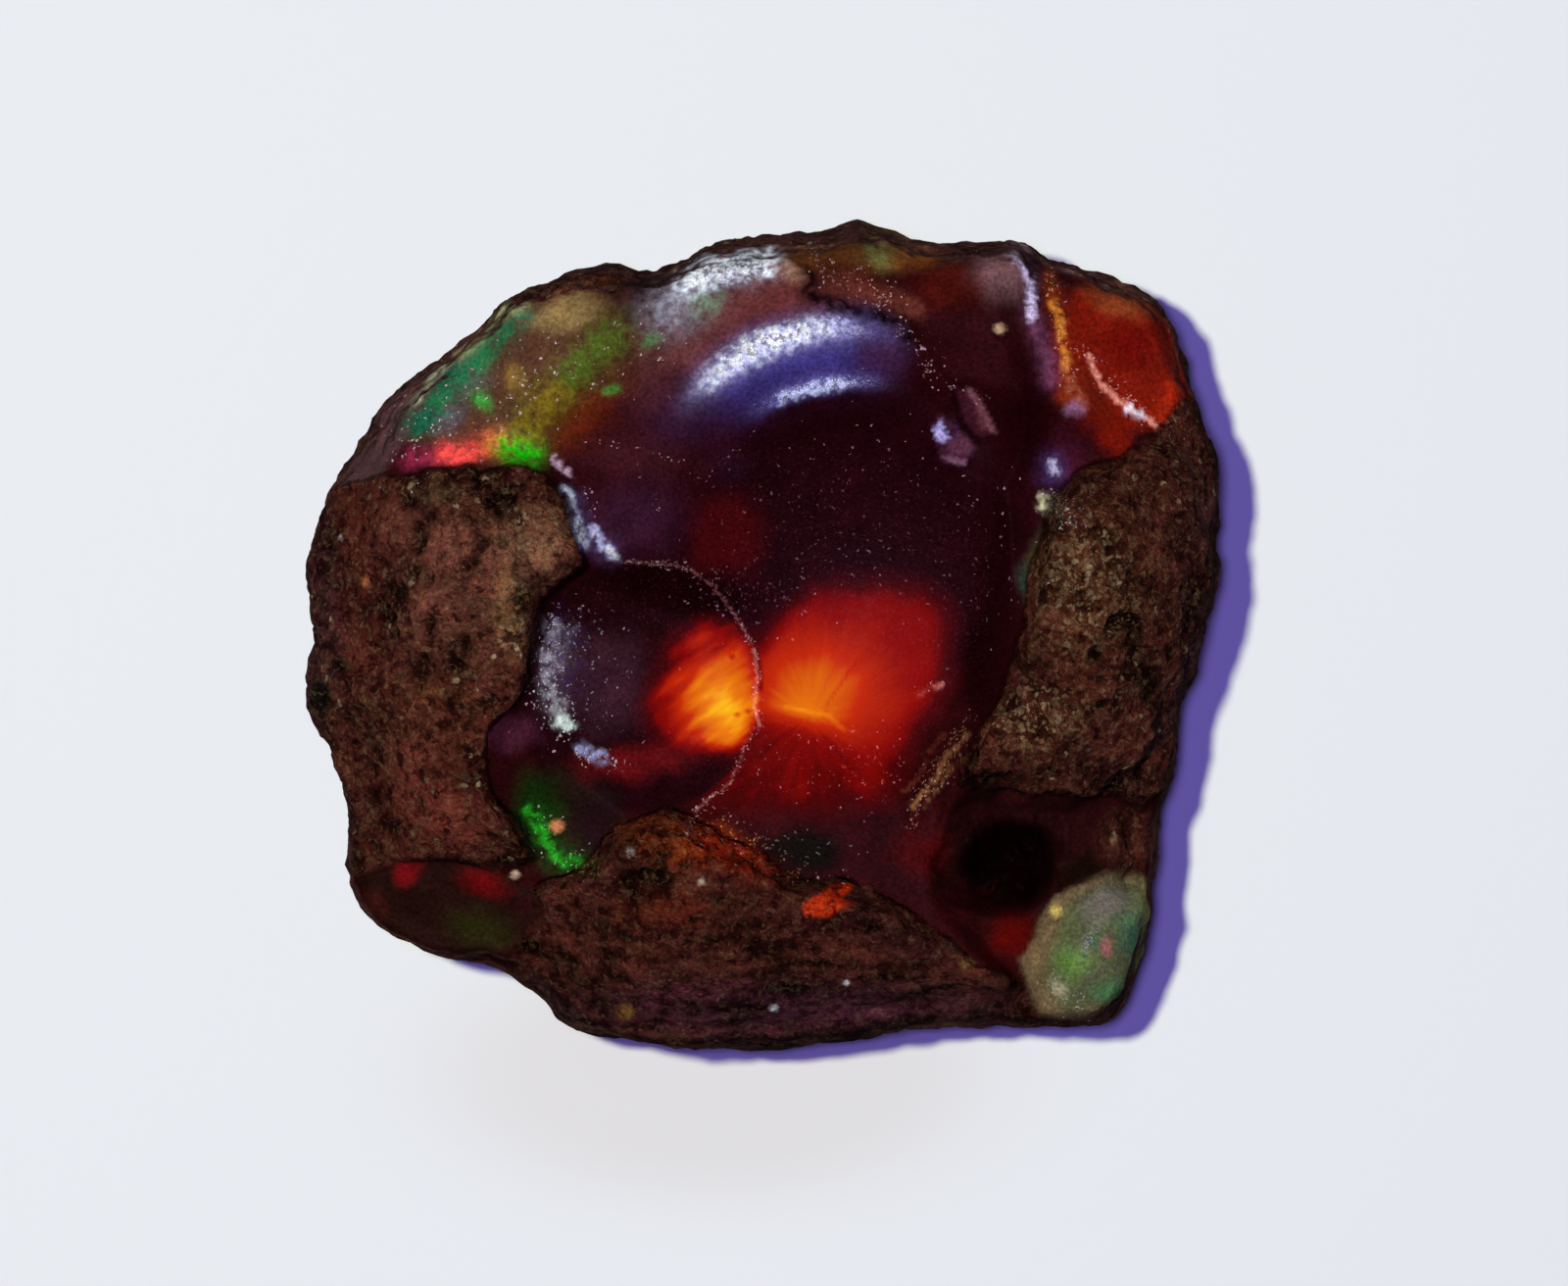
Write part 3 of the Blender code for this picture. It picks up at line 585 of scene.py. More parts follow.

# Arcs round the ripples' middle: body colours, with painted highlights and a painted reflection of a violet
# sky
# on the ripples: (radius, half width, middle direction, half spread, colour, strength)
ARC_TINTS_AND_HIGHLIGHTS = (
    (8.4, 0.9, 108.0, 24.0, (98, 42, 38), 0.6),
    (6.7, 0.85, 107.0, 25.0, (58, 48, 118), 0.95),
    (7.6, 0.62, 107.0, 26.0, (112, 104, 168), 0.9),
    (7.65, 0.36, 113.0, 20.0, (186, 186, 236), 0.85),
    (5.8, 0.3, 104.0, 20.0, (96, 90, 160), 0.85),
    (6.7, 0.7, 82.0, 8.0, (62, 30, 60), 0.8),
    (5.2, 0.28, 104.0, 28.0, (30, 4, 12), 0.95),
)
# White painted highlights along the ripples, broken up into flecks
ARC_HIGHLIGHT_FLECKS = (
    (7.68, 0.5, 114.0, 19.0, (236, 240, 255), 0.9),
    (5.7, 0.22, 105.0, 15.0, (206, 210, 248), 0.75),
)

# Streaks of colour along a path, some of them painted highlights and sheen: (path, half width, colour,
# strength)
STREAKS_AND_HIGHLIGHTS = (
    ([(-12.0, 7.4), (-11.1, 8.3), (-9.9, 9.8), (-8.5, 11.0)], 0.55, (26, 100, 70), 0.9),
    ([(-11.0, 8.9), (-10.2, 9.8)], 0.4, (36, 70, 74), 0.8),
    ([(-12.2, 8.1), (-11.3, 9.1), (-10.5, 9.95)], 0.13, (196, 198, 156), 0.9),
    ([(-10.6, 9.75), (-9.7, 10.7), (-8.4, 11.7)], 0.3, (182, 184, 128), 0.95),
    ([(-4.9, 10.6), (-6.3, 9.2), (-7.9, 7.4)], 0.8, (78, 72, 24), 0.8),
    ([(-5.4, 10.2), (-6.6, 9.0)], 0.5, (68, 98, 28), 0.6),
    ([(-7.3, 8.2), (-8.1, 7.2)], 0.6, (112, 92, 22), 0.75),
    ([(-5.6, 7.9), (-7.0, 6.9)], 0.6, (92, 22, 8), 0.5),
    ([(-12.2, 6.0), (-10.6, 6.2)], 0.4, (150, 40, 70), 0.9),
    ([(-10.9, 6.2), (-9.2, 6.55)], 0.42, (250, 76, 68), 1.0),
    ([(-9.5, 6.7), (-9.2, 6.9)], 0.3, (230, 122, 60), 0.9),
    ([(-8.9, 6.45), (-8.2, 6.4)], 0.48, (10, 172, 10), 1.0),
    ([(-9.8, 8.15), (-9.6, 8.05)], 0.26, (56, 170, 60), 0.8),
    ([(-10.0, 9.3), (-9.7, 9.6)], 0.3, (30, 130, 70), 0.7),
    ([(-5.3, 8.5), (-5.0, 8.5)], 0.18, (60, 130, 50), 0.7),
    ([(-3.9, 10.2), (-3.7, 10.3)], 0.24, (66, 130, 66), 0.7),
    # painted highlight behind the ripples, with its lavender fade
    ([(-3.1, 11.4), (-2.4, 12.0)], 0.9, (150, 148, 162), 0.75),
    ([(-2.6, 12.2), (-1.4, 12.65), (0.0, 12.75)], 0.5, (190, 194, 210), 0.85),
    ([(-2.2, 11.5), (-1.6, 11.6)], 0.4, (104, 132, 96), 0.7),
    ([(0.3, 12.6), (1.4, 12.3)], 0.2, (172, 128, 104), 0.7),
    ([(3.6, 13.9), (4.2, 13.0)], 0.4, (104, 108, 58), 0.8),
    ([(4.4, 14.0), (5.0, 13.4)], 0.35, (90, 86, 40), 0.6),
    ([(1.56, 12.56), (1.7, 11.87), (2.66, 11.46), (4.86, 10.9), (5.1, 10.3)], 0.3, (20, 3, 4), 1.0),
    ([(2.4, 12.2), (4.0, 11.8), (5.4, 11.2)], 0.3, (110, 52, 40), 0.7),
    # painted violet sheen along the lobe's edge
    ([(9.35, 11.0), (9.7, 9.9), (10.0, 8.9)], 0.36, (112, 60, 88), 0.9),
    ([(6.9, 13.66), (8.9, 13.76), (9.7, 13.4), (10.86, 12.7), (11.9, 12.2)], 0.13, (176, 150, 160), 0.85),
    ([(13.4, 7.6), (14.1, 8.1), (14.8, 9.2)], 0.4, (160, 36, 9), 0.8),
    ([(9.93, 12.46), (10.14, 11.36), (10.48, 10.09), (10.62, 8.99), (10.48, 8.2)], 0.26, (134, 46, 16), 0.7),
    # painted violet halos round the lobe's bright spot and the left rock's bright wall
    ([(10.05, 6.0), (10.1, 5.5)], 0.42, (84, 56, 110), 0.6),
    ([(-6.7, 4.6), (-6.3, 3.4), (-5.4, 2.9)], 0.4, (84, 66, 110), 0.7),
    ([(-8.0, -6.3), (-7.4, -7.5), (-7.0, -7.95), (-5.8, -8.2)], 0.5, (22, 66, 14), 0.9),
)

# Small faces of the chip on the hollow's back right wall, with sharp edges: (outline, colour)
CHIP_FACES = (
    ([(5.85, 7.3), (6.2, 7.6), (6.75, 7.25), (7.45, 6.5), (7.1, 6.05), (6.6, 5.9), (6.2, 6.2)], (62, 26, 42)),
    ([(6.3, 6.7), (6.85, 7.05), (7.35, 6.45), (6.75, 6.1)], (96, 50, 70)),
    ([(6.7, 8.5), (7.15, 8.55), (7.6, 7.9), (8.0, 7.1), (7.75, 6.9), (7.35, 6.9), (7.0, 7.4)], (62, 22, 34)),
    ([(7.3, 7.9), (7.6, 7.85), (7.95, 7.15), (7.6, 7.1)], (92, 46, 56)),
    # a painted highlight on the left face
    ([(5.95, 7.3), (6.15, 7.45), (6.42, 7.0), (6.3, 6.65), (6.05, 6.8)], (176, 162, 220)),
)
CHIP_LINES = (  # (path, half width, colour)
    ([(6.6, 8.3), (6.95, 7.35), (7.45, 6.7)], 0.12, (24, 4, 8)),
    ([(7.15, 8.5), (7.6, 7.85), (7.98, 7.1)], 0.11, (128, 76, 86)),
    # a painted highlight along the lower edge
    ([(6.35, 6.15), (7.0, 5.98)], 0.11, (130, 84, 108)),
)

# Bright patches broken up into flecks: painted highlights and glints, then from the green dip on flecks of
# colour: (path, half width, colour, strength)
HIGHLIGHTS_AND_FLECKS = (
    ([(-2.6, 12.3), (-1.5, 12.7), (-0.4, 12.85), (0.1, 12.8)], 0.6, (236, 244, 255), 1.0),
    ([(8.6, 13.2), (9.1, 12.7), (9.32, 11.8), (9.38, 11.0)], 0.2, (220, 200, 236), 0.95),
    ([(11.3, 9.6), (11.7, 8.85), (12.27, 8.2), (12.92, 7.65), (13.6, 7.3)], 0.12, (244, 150, 130), 0.9),
    ([(12.7, 7.8), (13.1, 7.55)], 0.18, (250, 214, 224), 0.95),
    ([(10.05, 5.9), (10.1, 5.65)], 0.17, (214, 204, 244), 0.95),
    ([(9.8, 4.6), (10.2, 4.3), (10.5, 3.9)], 0.26, (226, 220, 176), 0.75),
    ([(10.1, 11.6), (10.4, 10.4), (10.6, 9.2)], 0.13, (232, 140, 50), 0.8),
    ([(10.5, 9.2), (10.7, 8.5), (11.1, 7.9)], 0.18, (196, 108, 76), 0.45),
    ([(-6.85, 4.8), (-6.65, 3.9), (-6.3, 3.1)], 0.28, (220, 228, 255), 1.0),
    ([(-5.9, 3.6), (-5.5, 3.05), (-5.15, 2.75)], 0.2, (206, 206, 250), 1.0),
    ([(-7.2, 6.1), (-6.7, 5.6)], 0.17, (220, 176, 196), 0.8),
    ([(-7.3, 0.3), (-7.5, -0.7), (-7.5, -1.6)], 0.34, (150, 142, 156), 0.7),
    ([(-6.6, 0.2), (-7.0, -0.5), (-7.1, -1.3)], 0.26, (110, 96, 108), 0.6),
    ([(-7.5, -1.9), (-7.0, -2.5), (-6.8, -3.0)], 0.28, (150, 146, 150), 0.7),
    ([(-6.9, -2.9), (-6.7, -3.1)], 0.22, (220, 236, 220), 0.95),
    ([(-6.4, -3.9), (-5.6, -4.3)], 0.26, (150, 150, 190), 0.85),
    ([(-8.2, -6.1), (-7.7, -6.8), (-7.4, -7.5), (-7.1, -7.95)], 0.2, (38, 160, 30), 0.7),
    ([(-6.9, -7.8), (-5.6, -8.2)], 0.2, (34, 120, 26), 0.7),
    # a painted highlight on a crack in the hollow
    ([(5.5, -1.95), (6.15, -1.75)], 0.07, (190, 110, 96), 0.8),
    ([(5.2, -6.0), (6.1, -4.9), (6.7, -4.0), (7.0, -3.3)], 0.09, (146, 96, 60), 0.7),
    ([(5.6, -6.0), (6.3, -5.1), (7.1, -4.2)], 0.09, (120, 74, 44), 0.7),
    ([(5.0, -5.4), (5.8, -4.4), (6.3, -3.4)], 0.08, (110, 50, 36), 0.6),
    ([(-5.4, 10.3), (-6.6, 9.0)], 0.6, (80, 98, 26), 0.35),
    ([(-7.2, 8.3), (-8.1, 7.2)], 0.6, (132, 108, 24), 0.5),
    ([(-11.3, 8.1), (-10.2, 9.5), (-9.2, 10.5)], 0.5, (34, 116, 66), 0.55),
)

# The scar's broken rim, and painted highlights along it: (path, half width, colour, strength)
SCAR_EDGE = [
    (-4.75, 2.57), (-4.1, 2.5), (-3.07, 2.44), (-2.52, 2.26), (-2.04, 1.99), (-1.32, 1.2), (-0.94, 0.65),
    (-0.46, -0.14), (-0.29, -0.51), (-0.19, -1.41), (-0.29, -2.5), (-0.09, -3.12), (-0.6, -3.74),
    (-0.87, -4.53), (-1.18, -5.18), (-1.73, -5.56), (-2.21, -5.97), (-2.45, -6.28), (-2.6, -6.9),
]
SCAR_RIM_HIGHLIGHTS = (
    (SCAR_EDGE, 0.03, (150, 84, 84), 0.5),
    (SCAR_EDGE[8:12], 0.05, (230, 170, 150), 0.8),
)

# Strings of small painted glints along broken edges and rims, and patches of pale specks:
# (path, half width, colour, density)
GLINTS = (
    (SCAR_EDGE, 0.1, (244, 204, 200), 0.85),
    ([(-6.1, 6.8), (-3.9, 6.4), (-2.0, 5.4)], 0.08, (160, 100, 110), 0.35),
    ([(-2.0, 5.4), (-1.1, 6.3), (-0.3, 7.0)], 0.08, (160, 96, 110), 0.35),
    ([(-6.2, 5.1), (-5.9, 4.6), (-6.0, 3.6)], 0.12, (220, 190, 220), 0.6),
    ([(-4.4, 6.0), (-3.7, 4.4)], 0.1, (160, 100, 120), 0.25),
    ([(2.2, 12.7), (3.4, 12.3), (4.4, 11.6)], 0.4, (220, 160, 150), 0.3),
    (CRUSHED_LEDGE, 0.2, (200, 150, 150), 0.3),
    ([(4.9, 10.6), (5.6, 10.1), (5.9, 9.3)], 0.35, (206, 160, 176), 0.4),
    ([(9.93, 12.46), (10.14, 11.36), (10.48, 10.09), (10.62, 8.99)], 0.25, (240, 190, 110), 0.4),
    (FACET_EDGE, 0.3, (250, 170, 150), 0.5),
    (SPLINTERS[0], 0.16, (190, 120, 70), 0.5),
    ([(5.3, -5.7), (6.2, -5.0), (7.0, -3.3)], 0.22, (206, 160, 100), 0.5),
    ([(-1.8, -6.4), (0.2, -7.4), (1.2, -8.1)], 0.5, (224, 136, 56), 0.35),
    ([(-11.9, 6.9), (-9.6, 8.2), (-7.0, 9.6)], 1.2, (214, 206, 190), 0.16),
    ([(-6.0, 9.4), (-3.4, 10.4)], 0.9, (210, 190, 170), 0.08),
    ([(-1.6, 1.6), (0.4, 1.4)], 0.8, (150, 80, 96), 0.3),
    ([(0.0, 3.0), (4.0, 4.4), (7.0, 3.0)], 2.2, (130, 70, 84), 0.08),
    ([(0.6, -4.4), (4.2, -4.6)], 0.9, (190, 60, 44), 0.16),
    ([(0.4, -7.3), (2.9, -7.5)], 0.7, (96, 104, 92), 0.07),
    ([(-7.1, 0.3), (-7.5, -1.8), (-6.9, -3.0)], 0.6, (220, 218, 228), 0.6),
    ([(-6.2, 0.2), (-5.8, -2.4)], 0.9, (160, 146, 162), 0.2),
    ([(-7.1, -2.9), (-6.7, -3.1)], 0.4, (236, 250, 238), 0.75),
    ([(-6.4, -4.1), (-5.2, -4.4)], 0.3, (230, 226, 236), 0.5),
    ([(-7.9, -6.4), (-7.2, -7.6), (-5.7, -8.1)], 0.4, (70, 220, 60), 0.3),
    ([(10.0, 4.7), (10.5, 3.9)], 0.4, (244, 240, 206), 0.85),
    ([(9.9, -12.0), (11.0, -13.0)], 0.4, (214, 206, 180), 0.4),
    ([(5.5, -1.9), (6.1, -1.7)], 0.14, (226, 130, 120), 0.8),
)

# Host rock colours: (centre x, centre y, half length, half width, turn, softness, colour, strength)
ROCK_TINTS = (
    (-10.5, 2.0, 4.6, 3.2, 100.0, 0.8, (106, 58, 46), 0.95),
    (-8.0, 3.2, 1.9, 1.9, 0.0, 0.9, (144, 92, 68), 0.9),
    (-8.7, 0.9, 0.9, 2.2, 0.0, 0.9, (150, 100, 64), 0.9),
    (-14.2, 1.5, 1.8, 5.4, 0.0, 0.8, (78, 30, 24), 0.9),
    (-11.2, 4.9, 1.6, 0.5, 4.0, 0.9, (104, 76, 50), 0.7),
    (-10.2, 5.7, 3.2, 0.5, 2.0, 0.8, (50, 18, 14), 0.9),
    (-11.2, -3.4, 2.8, 1.6, 0.0, 0.9, (102, 48, 36), 0.9),
    (-11.2, -2.1, 1.8, 0.7, 0.0, 0.9, (122, 66, 40), 0.7),
    (-11.4, -5.8, 3.2, 2.2, 0.0, 0.9, (112, 48, 38), 0.9),
    (11.8, 1.6, 5.2, 3.4, 82.0, 0.8, (70, 34, 22), 0.95),
    (11.0, 1.8, 2.2, 2.2, 0.0, 0.9, (84, 46, 28), 0.9),
    (9.6, -3.0, 2.6, 1.5, 0.0, 0.9, (68, 32, 20), 0.9),
    (14.8, 2.0, 1.3, 6.0, 0.0, 0.9, (48, 18, 17), 0.9),
    # painted shade under the right rock's undercut edge
    (12.4, -4.9, 2.6, 0.7, 0.0, 0.9, (36, 12, 12), 0.9),
    (-3.0, -7.1, 2.6, 1.4, -10.0, 0.9, (136, 52, 18), 0.95),
    (-1.0, -7.4, 2.6, 1.2, -25.0, 0.9, (158, 36, 12), 0.95),
    (-3.6, -9.4, 2.8, 1.3, 0.0, 0.9, (90, 32, 20), 0.9),
    (-3.0, -10.5, 1.4, 0.4, 0.0, 0.9, (96, 48, 38), 0.7),
    (2.2, -9.8, 2.6, 1.4, 0.0, 0.9, (54, 17, 18), 0.9),
    (5.0, -10.6, 3.0, 1.0, -20.0, 0.9, (60, 24, 26), 0.8),
    (1.0, -13.0, 11.0, 1.6, 0.0, 0.8, (72, 32, 46), 0.9),
    (-15.4, 1.6, 1.1, 6.5, 4.0, 0.8, (76, 36, 40), 0.9),
    (-12.4, 7.8, 3.6, 0.9, 45.0, 0.8, (84, 44, 42), 0.9),
    (-15.5, -2.2, 0.6, 1.0, 0.0, 0.6, (18, 30, 22), 0.95),
    (-6.4, 12.5, 2.2, 0.9, 15.0, 0.8, (92, 48, 25), 0.9),
)
CHIP_OUTLINE = [  # an orange flake on the front shelf
    (1.36, -9.3), (2.39, -8.68), (3.07, -8.68), (2.76, -9.16), (3.24, -9.3), (2.28, -9.68), (1.42, -9.64),
]
CHIP_COLOUR = (226, 56, 14)

# Ovals that bound a look: (centre x, centre y, half length, half width, turn, softness)
SKIN_RIM = (-13.0, 8.5, 5.5, 2.6, 50.0, 0.3)  # skin left outside the back left window
# the rim's painted shade is left out here
UNSHADED_RIM = (-11.0, 9.5, 5.5, 2.6, 45.0, 0.5)  # where the rim isn't darkened
CLEAR_MIDDLE = (1.0, 0.5, 9.5, 7.5, 0.0, 0.4)  # where the opal is clearest
CRUMBLED_CORNER = (12.7, -7.0, 1.4, 1.6, 0.0, 0.6)  # thin rock at the front right
KNOB_COVER = (11.4, -10.9, 3.1, 2.2, 58.0, 0.12)  # bare opal on the knob and in the front left window
WINDOW_COVER = (-11.05, -9.35, 3.5, 1.85, -6.0, 0.12)

# How far the rock's look reaches past each patch, over its steep edge
ROCK_SPREAD = ((LEFT_ROCK, 0.1), (RIGHT_ROCK, 0.15), (FRONT_ROCK, 0.4), (BACK_ROCK, 0.1))

SKIN_RIM_COLOUR = (86, 56, 58)
SKIN_COLOURS = ((74, 38, 38), (46, 22, 26), (100, 62, 50))
UNDERCUT_COLOUR = (20, 8, 16)  # the shaded edge along the front

# The painted glow, emitted where lamp light would shine through the stone, inside the hollow and the scar,
# from none to brightest: (level, colour)
GLOW_COLOURS = (
    (0.0, (0, 0, 0)), (0.2, (62, 1, 1)), (0.4, (136, 8, 3)), (0.6, (194, 40, 5)),
    (0.8, (236, 122, 10)), (0.93, (255, 190, 24)), (1.0, (255, 226, 70)),
)
HOLLOW_GLOW = [
    (-1.6, -2.9), (-1.4, -1.0), (-0.3, 0.3), (0.7, 1.2), (1.7, 1.9), (2.8, 2.2), (4.34, 2.2), (5.9, 1.9),
    (6.7, 1.2), (6.9, 0.27), (6.85, -1.44), (6.3, -2.6), (5.5, -3.6), (5.0, -4.7), (4.5, -6.0),
    (2.6, -6.5), (0.2, -6.6), (-2.6, -6.4), (-2.4, -4.6), (-1.8, -3.4),
]
GLOW_SILL = [(-0.4, -2.75), (1.0, -2.85), (2.3, -3.2), (3.6, -4.1)]  # the orange light ends along this line
SCAR_GLOW = [
    (-3.5, -0.1), (-3.0, 0.45), (-2.28, 0.75), (-1.32, 0.65), (-0.4, 0.2), (0.3, -0.69), (0.6, -1.78),
    (0.6, -2.64), (0.3, -3.4), (-0.5, -4.2), (-1.5, -4.5), (-2.5, -4.5), (-3.5, -4.2), (-4.2, -3.4),
    (-4.5, -2.6), (-4.1, -1.3),
]
GLOW_STREAK = [(0.77, -2.5), (2.3, -2.8), (2.87, -3.36)]
GLOW_SEAM = [(3.24, -0.96), (2.3, -2.3), (2.14, -2.9)]
GLOW_BODY = (1.9, -1.9, 2.5, 2.0)  # (centre x, centre y, half length, half width)
GLOW_CORE = (1.3, -2.6, 1.3, 0.5, -16.0)  # the same, and its turn
PIT_GLOW = (8.6, -10.6, 0.8, 0.65)
RAY_SOURCE = (1.7, -2.9)  # the rays in the hollow fan out from here
EYE_MIDDLE = (-1.25, -2.6)  # the bright eye in the scar
EYE_WIDTH = 1.75
EYE_HEIGHTS = (2.1, 1.6)  # behind its middle and in front of it
EYE_SPOTS = ((-1.08, -0.75), (-0.53, -2.64), (-0.9, -2.75))
STROKE_LINE = (0.82, 0.57)  # the direction of the brushed strokes in the scar

# Where the opal is smooth enough to mirror a lamp:
# (centre x, centre y, half length, half width, turn, amount)
GLOSS_AREAS = (
    (-1.3, 12.7, 2.4, 0.9, 0.0, 1.0),
    (9.3, 12.0, 0.5, 1.5, 0.0, 0.6),
    (6.4, 7.1, 0.6, 0.6, 0.0, 0.8),
    (11.8, -10.9, 2.4, 1.6, 58.0, 0.35),
    (-6.9, -0.8, 1.2, 2.2, 0.0, 0.7),
    (-6.4, 3.8, 0.5, 1.2, 15.0, 1.0),
    (10.1, 5.8, 0.5, 0.5, 0.0, 1.0),
)
GLOSS_RINGS = ((5.8, 0.35), (7.75, 0.6))  # radius round the ripples' middle, half width
GLOSS_SWEEP = (107.0, 22.0)


def lay(paint, mask, colour, strength=1.0):
    """Mixes a colour into the painted colours where the mask says."""
    share = (mask * strength)[:, None]
    paint += (colour - paint) * share


def ring(x, y, radius, half_width, middle, spread):
    """1 on an arc round the ripples' middle."""
    dx, dy = x - RIPPLE_CENTRE[0], y - RIPPLE_CENTRE[1]
    turned = np.degrees(np.arctan2(dy, dx))
    return np.exp(-(((np.hypot(dx, dy) - radius) / half_width) ** 2) - ((turned - middle) / spread) ** 4)


def stripe(x, y, path, half_width):
    """1 along a path, with a fairly sharp edge."""
    return 1.0 - smooth_step(0.5, 1.3, path_distance(x, y, path)[0] / half_width)


def soft_path(x, y, path, half_width):
    """1 along a path, fading out on both sides."""
    return np.exp(-((path_distance(x, y, path)[0] / half_width) ** 2))


def broken(mask, speckle):
    """Breaks a soft patch up into flecks, which thin out towards its edge."""
    return smooth_step(0.12, 1.0, mask * (0.95 + 1.5 * speckle))


def opal_paint(x, y, wander, drift, reach):
    """Body colour of the bare opal, with painted highlights, glints and sheen on its polished and broken
    places.
    """
    paint = np.tile(tint(46, 9, 12), (len(x), 1))
    wx, wy = x + 0.3 * wander, y + 0.3 * drift
    for cx, cy, along, across, turn, soft, colour, strength in OPAL_TINTS:
        lay(paint, oval(wx, wy, cx, cy, along, across, turn, soft), tint(*colour), strength)
    before_ledge = 1.0 - smooth_step(-0.1, 0.1, inside(x, y, LOBE) + 0.2 * wander)
    for radius, half_width, middle, spread, colour, strength in ARC_TINTS_AND_HIGHLIGHTS:
        arc = ring(x + 0.1 * drift, y + 0.1 * wander, radius, half_width, middle, spread)
        lay(paint, arc * before_ledge, tint(*colour), strength)
    lay(paint, smooth_step(0.90, 0.93, reach) * oval(x, y, *SKIN_RIM), tint(*SKIN_RIM_COLOUR))
    speckle = fractal(x, y, 0.0 * x, 0.27, 3, 23)
    wx, wy = x + 0.2 * wander, y + 0.2 * drift
    for path, half_width, colour, strength in STREAKS_AND_HIGHLIGHTS:
        mask = soft_path(wx, wy, path, half_width)
        lay(paint, np.clip(mask * (0.9 + 0.9 * speckle), 0.0, 1.0), tint(*colour), strength)
    for radius, half_width, middle, spread, colour, strength in ARC_HIGHLIGHT_FLECKS:
        mask = ring(x + 0.1 * drift, y + 0.1 * wander, radius, half_width, middle, spread) * before_ledge
        lay(paint, broken(mask, speckle), tint(*colour), strength)
    for path, half_width, colour, strength in HIGHLIGHTS_AND_FLECKS:
        lay(paint, broken(soft_path(wx, wy, path, half_width), speckle), tint(*colour), strength)
    for outline, colour in CHIP_FACES:
        lay(paint, smooth_step(-0.07, 0.07, inside(x, y, outline) + 0.1 * speckle), tint(*colour))
    for path, half_width, colour in CHIP_LINES:
        lay(paint, stripe(x, y, path, half_width), tint(*colour), 0.9)
    return paint


def rock_paint(x, y, z, relief):
    """Body colour of the host rock, banded along the front, with painted shade: darker in its hollows and
    lighter on its bumps.
    """
    paint = np.tile(tint(74, 32, 25), (len(x), 1))
    for cx, cy, along, across, turn, soft, colour, strength in ROCK_TINTS:
        lay(paint, oval(x, y, cx, cy, along, across, turn, soft), tint(*colour), strength)
    bands = fractal(0.16 * x + 0.1 * y, y, z, 0.5, 4, 15) * smooth_step(-6.0, -9.0, y)
    mottle_and_shade = 1.12 + 0.5 * fractal(x, y, z, 2.2, 4, 11) + 0.45 * fractal(x, y, z, 0.8, 4, 12)
    # painted shade from the relief: darker in hollows, lighter on bumps
    mottle_and_shade = mottle_and_shade + 0.9 * bands + 5.0 * relief
    return paint * np.clip(mottle_and_shade, 0.12, 2.6)[:, None]


def skin_paint(x, y, z, relief):
    """Body colour of the sides and the underside, with painted shade: darker in their hollows and lighter on
    their bumps.
    """
    plain, dark, pale = (tint(*c) for c in SKIN_COLOURS)
    paint = np.tile(plain, (len(x), 1))
    lay(paint, smooth_step(-0.1, 0.5, fractal(x, y, z, 4.0, 3, 13)), dark)
    lay(paint, smooth_step(0.15, 0.6, fractal(x, y, z, 1.7, 4, 14)), pale, 0.8)
    # painted shade from the relief
    return paint * np.clip(1.0 + 3.0 * relief, 0.3, 1.8)[:, None]


def glow_level(x, y, drift):
    """How bright the painted inner glow is: 0 none, 1 yellow."""
    in_scar = smooth_step(-0.05, 0.05, SCAR_RADIUS - np.hypot(x - SCAR_CENTRE[0], y - SCAR_CENTRE[1]))

    def blob(cx, cy, wide, high, turn=0.0):
        return np.exp(-(oval_reach(x, y, cx, cy, wide, high, turn) ** 2))

    dx, dy = x - RAY_SOURCE[0], y - RAY_SOURCE[1]
    rays = fractal(3.5 * np.arctan2(dy, dx), 0.25 * np.hypot(dy, dx), 0.0 * x, 0.45, 3, 22)
    within = smooth_step(-0.4, 1.2, inside(x, y, HOLLOW_GLOW) + 0.2 * drift)
    sill = np.interp(x, *np.array(GLOW_SILL).T)
    over = smooth_step(-0.9, 0.35, y - sill)
    bowl = 0.35 + 0.36 * blob(*GLOW_BODY) + 0.10 * blob(*GLOW_CORE)
    bowl += 0.07 * stripe(x, y, GLOW_STREAK, 0.09) - 0.05 * stripe(x, y, GLOW_SEAM, 0.05) + 0.03 * rays
    under = 0.33 + 0.07 * rays - 0.03 * np.maximum(sill - y, 0.0) + 0.05 * drift
    under -= 0.06 * smooth_step(0.8, -0.8, x)
    bowl = (under + (bowl - under) * over) * within

    c, s = STROKE_LINE
    along, across = c * x + s * y, c * y - s * x
    strokes = fractal(0.4 * along, 1.6 * across, 0.0 * x, 0.7, 4, 24)
    within = smooth_step(-0.25, 0.9, inside(x, y, SCAR_GLOW) + 0.25 * drift + 0.1 * strokes)
    dx, dy = x - EYE_MIDDLE[0], y - EYE_MIDDLE[1]
    away = np.hypot(dx / EYE_WIDTH, dy / np.where(y > EYE_MIDDLE[1], *EYE_HEIGHTS))
    eye = (0.95 - 0.42 * away + 0.16 * strokes) * within
    for cx, cy in EYE_SPOTS:
        eye -= 0.2 * oval(x, y, cx, cy, 0.16, 0.13, 0.0, 0.8)
    value = bowl + (eye - bowl) * in_scar
    value = np.maximum(value, 0.17 * blob(*PIT_GLOW))
    return np.clip(value, 0.0, 1.0)


def glow_colour(value):
    stops = np.array([s for s, _ in GLOW_COLOURS])
    colours = np.array([tint(*c) for _, c in GLOW_COLOURS])
    return np.stack([np.interp(value, stops, colours[:, i]) for i in range(3)], 1)


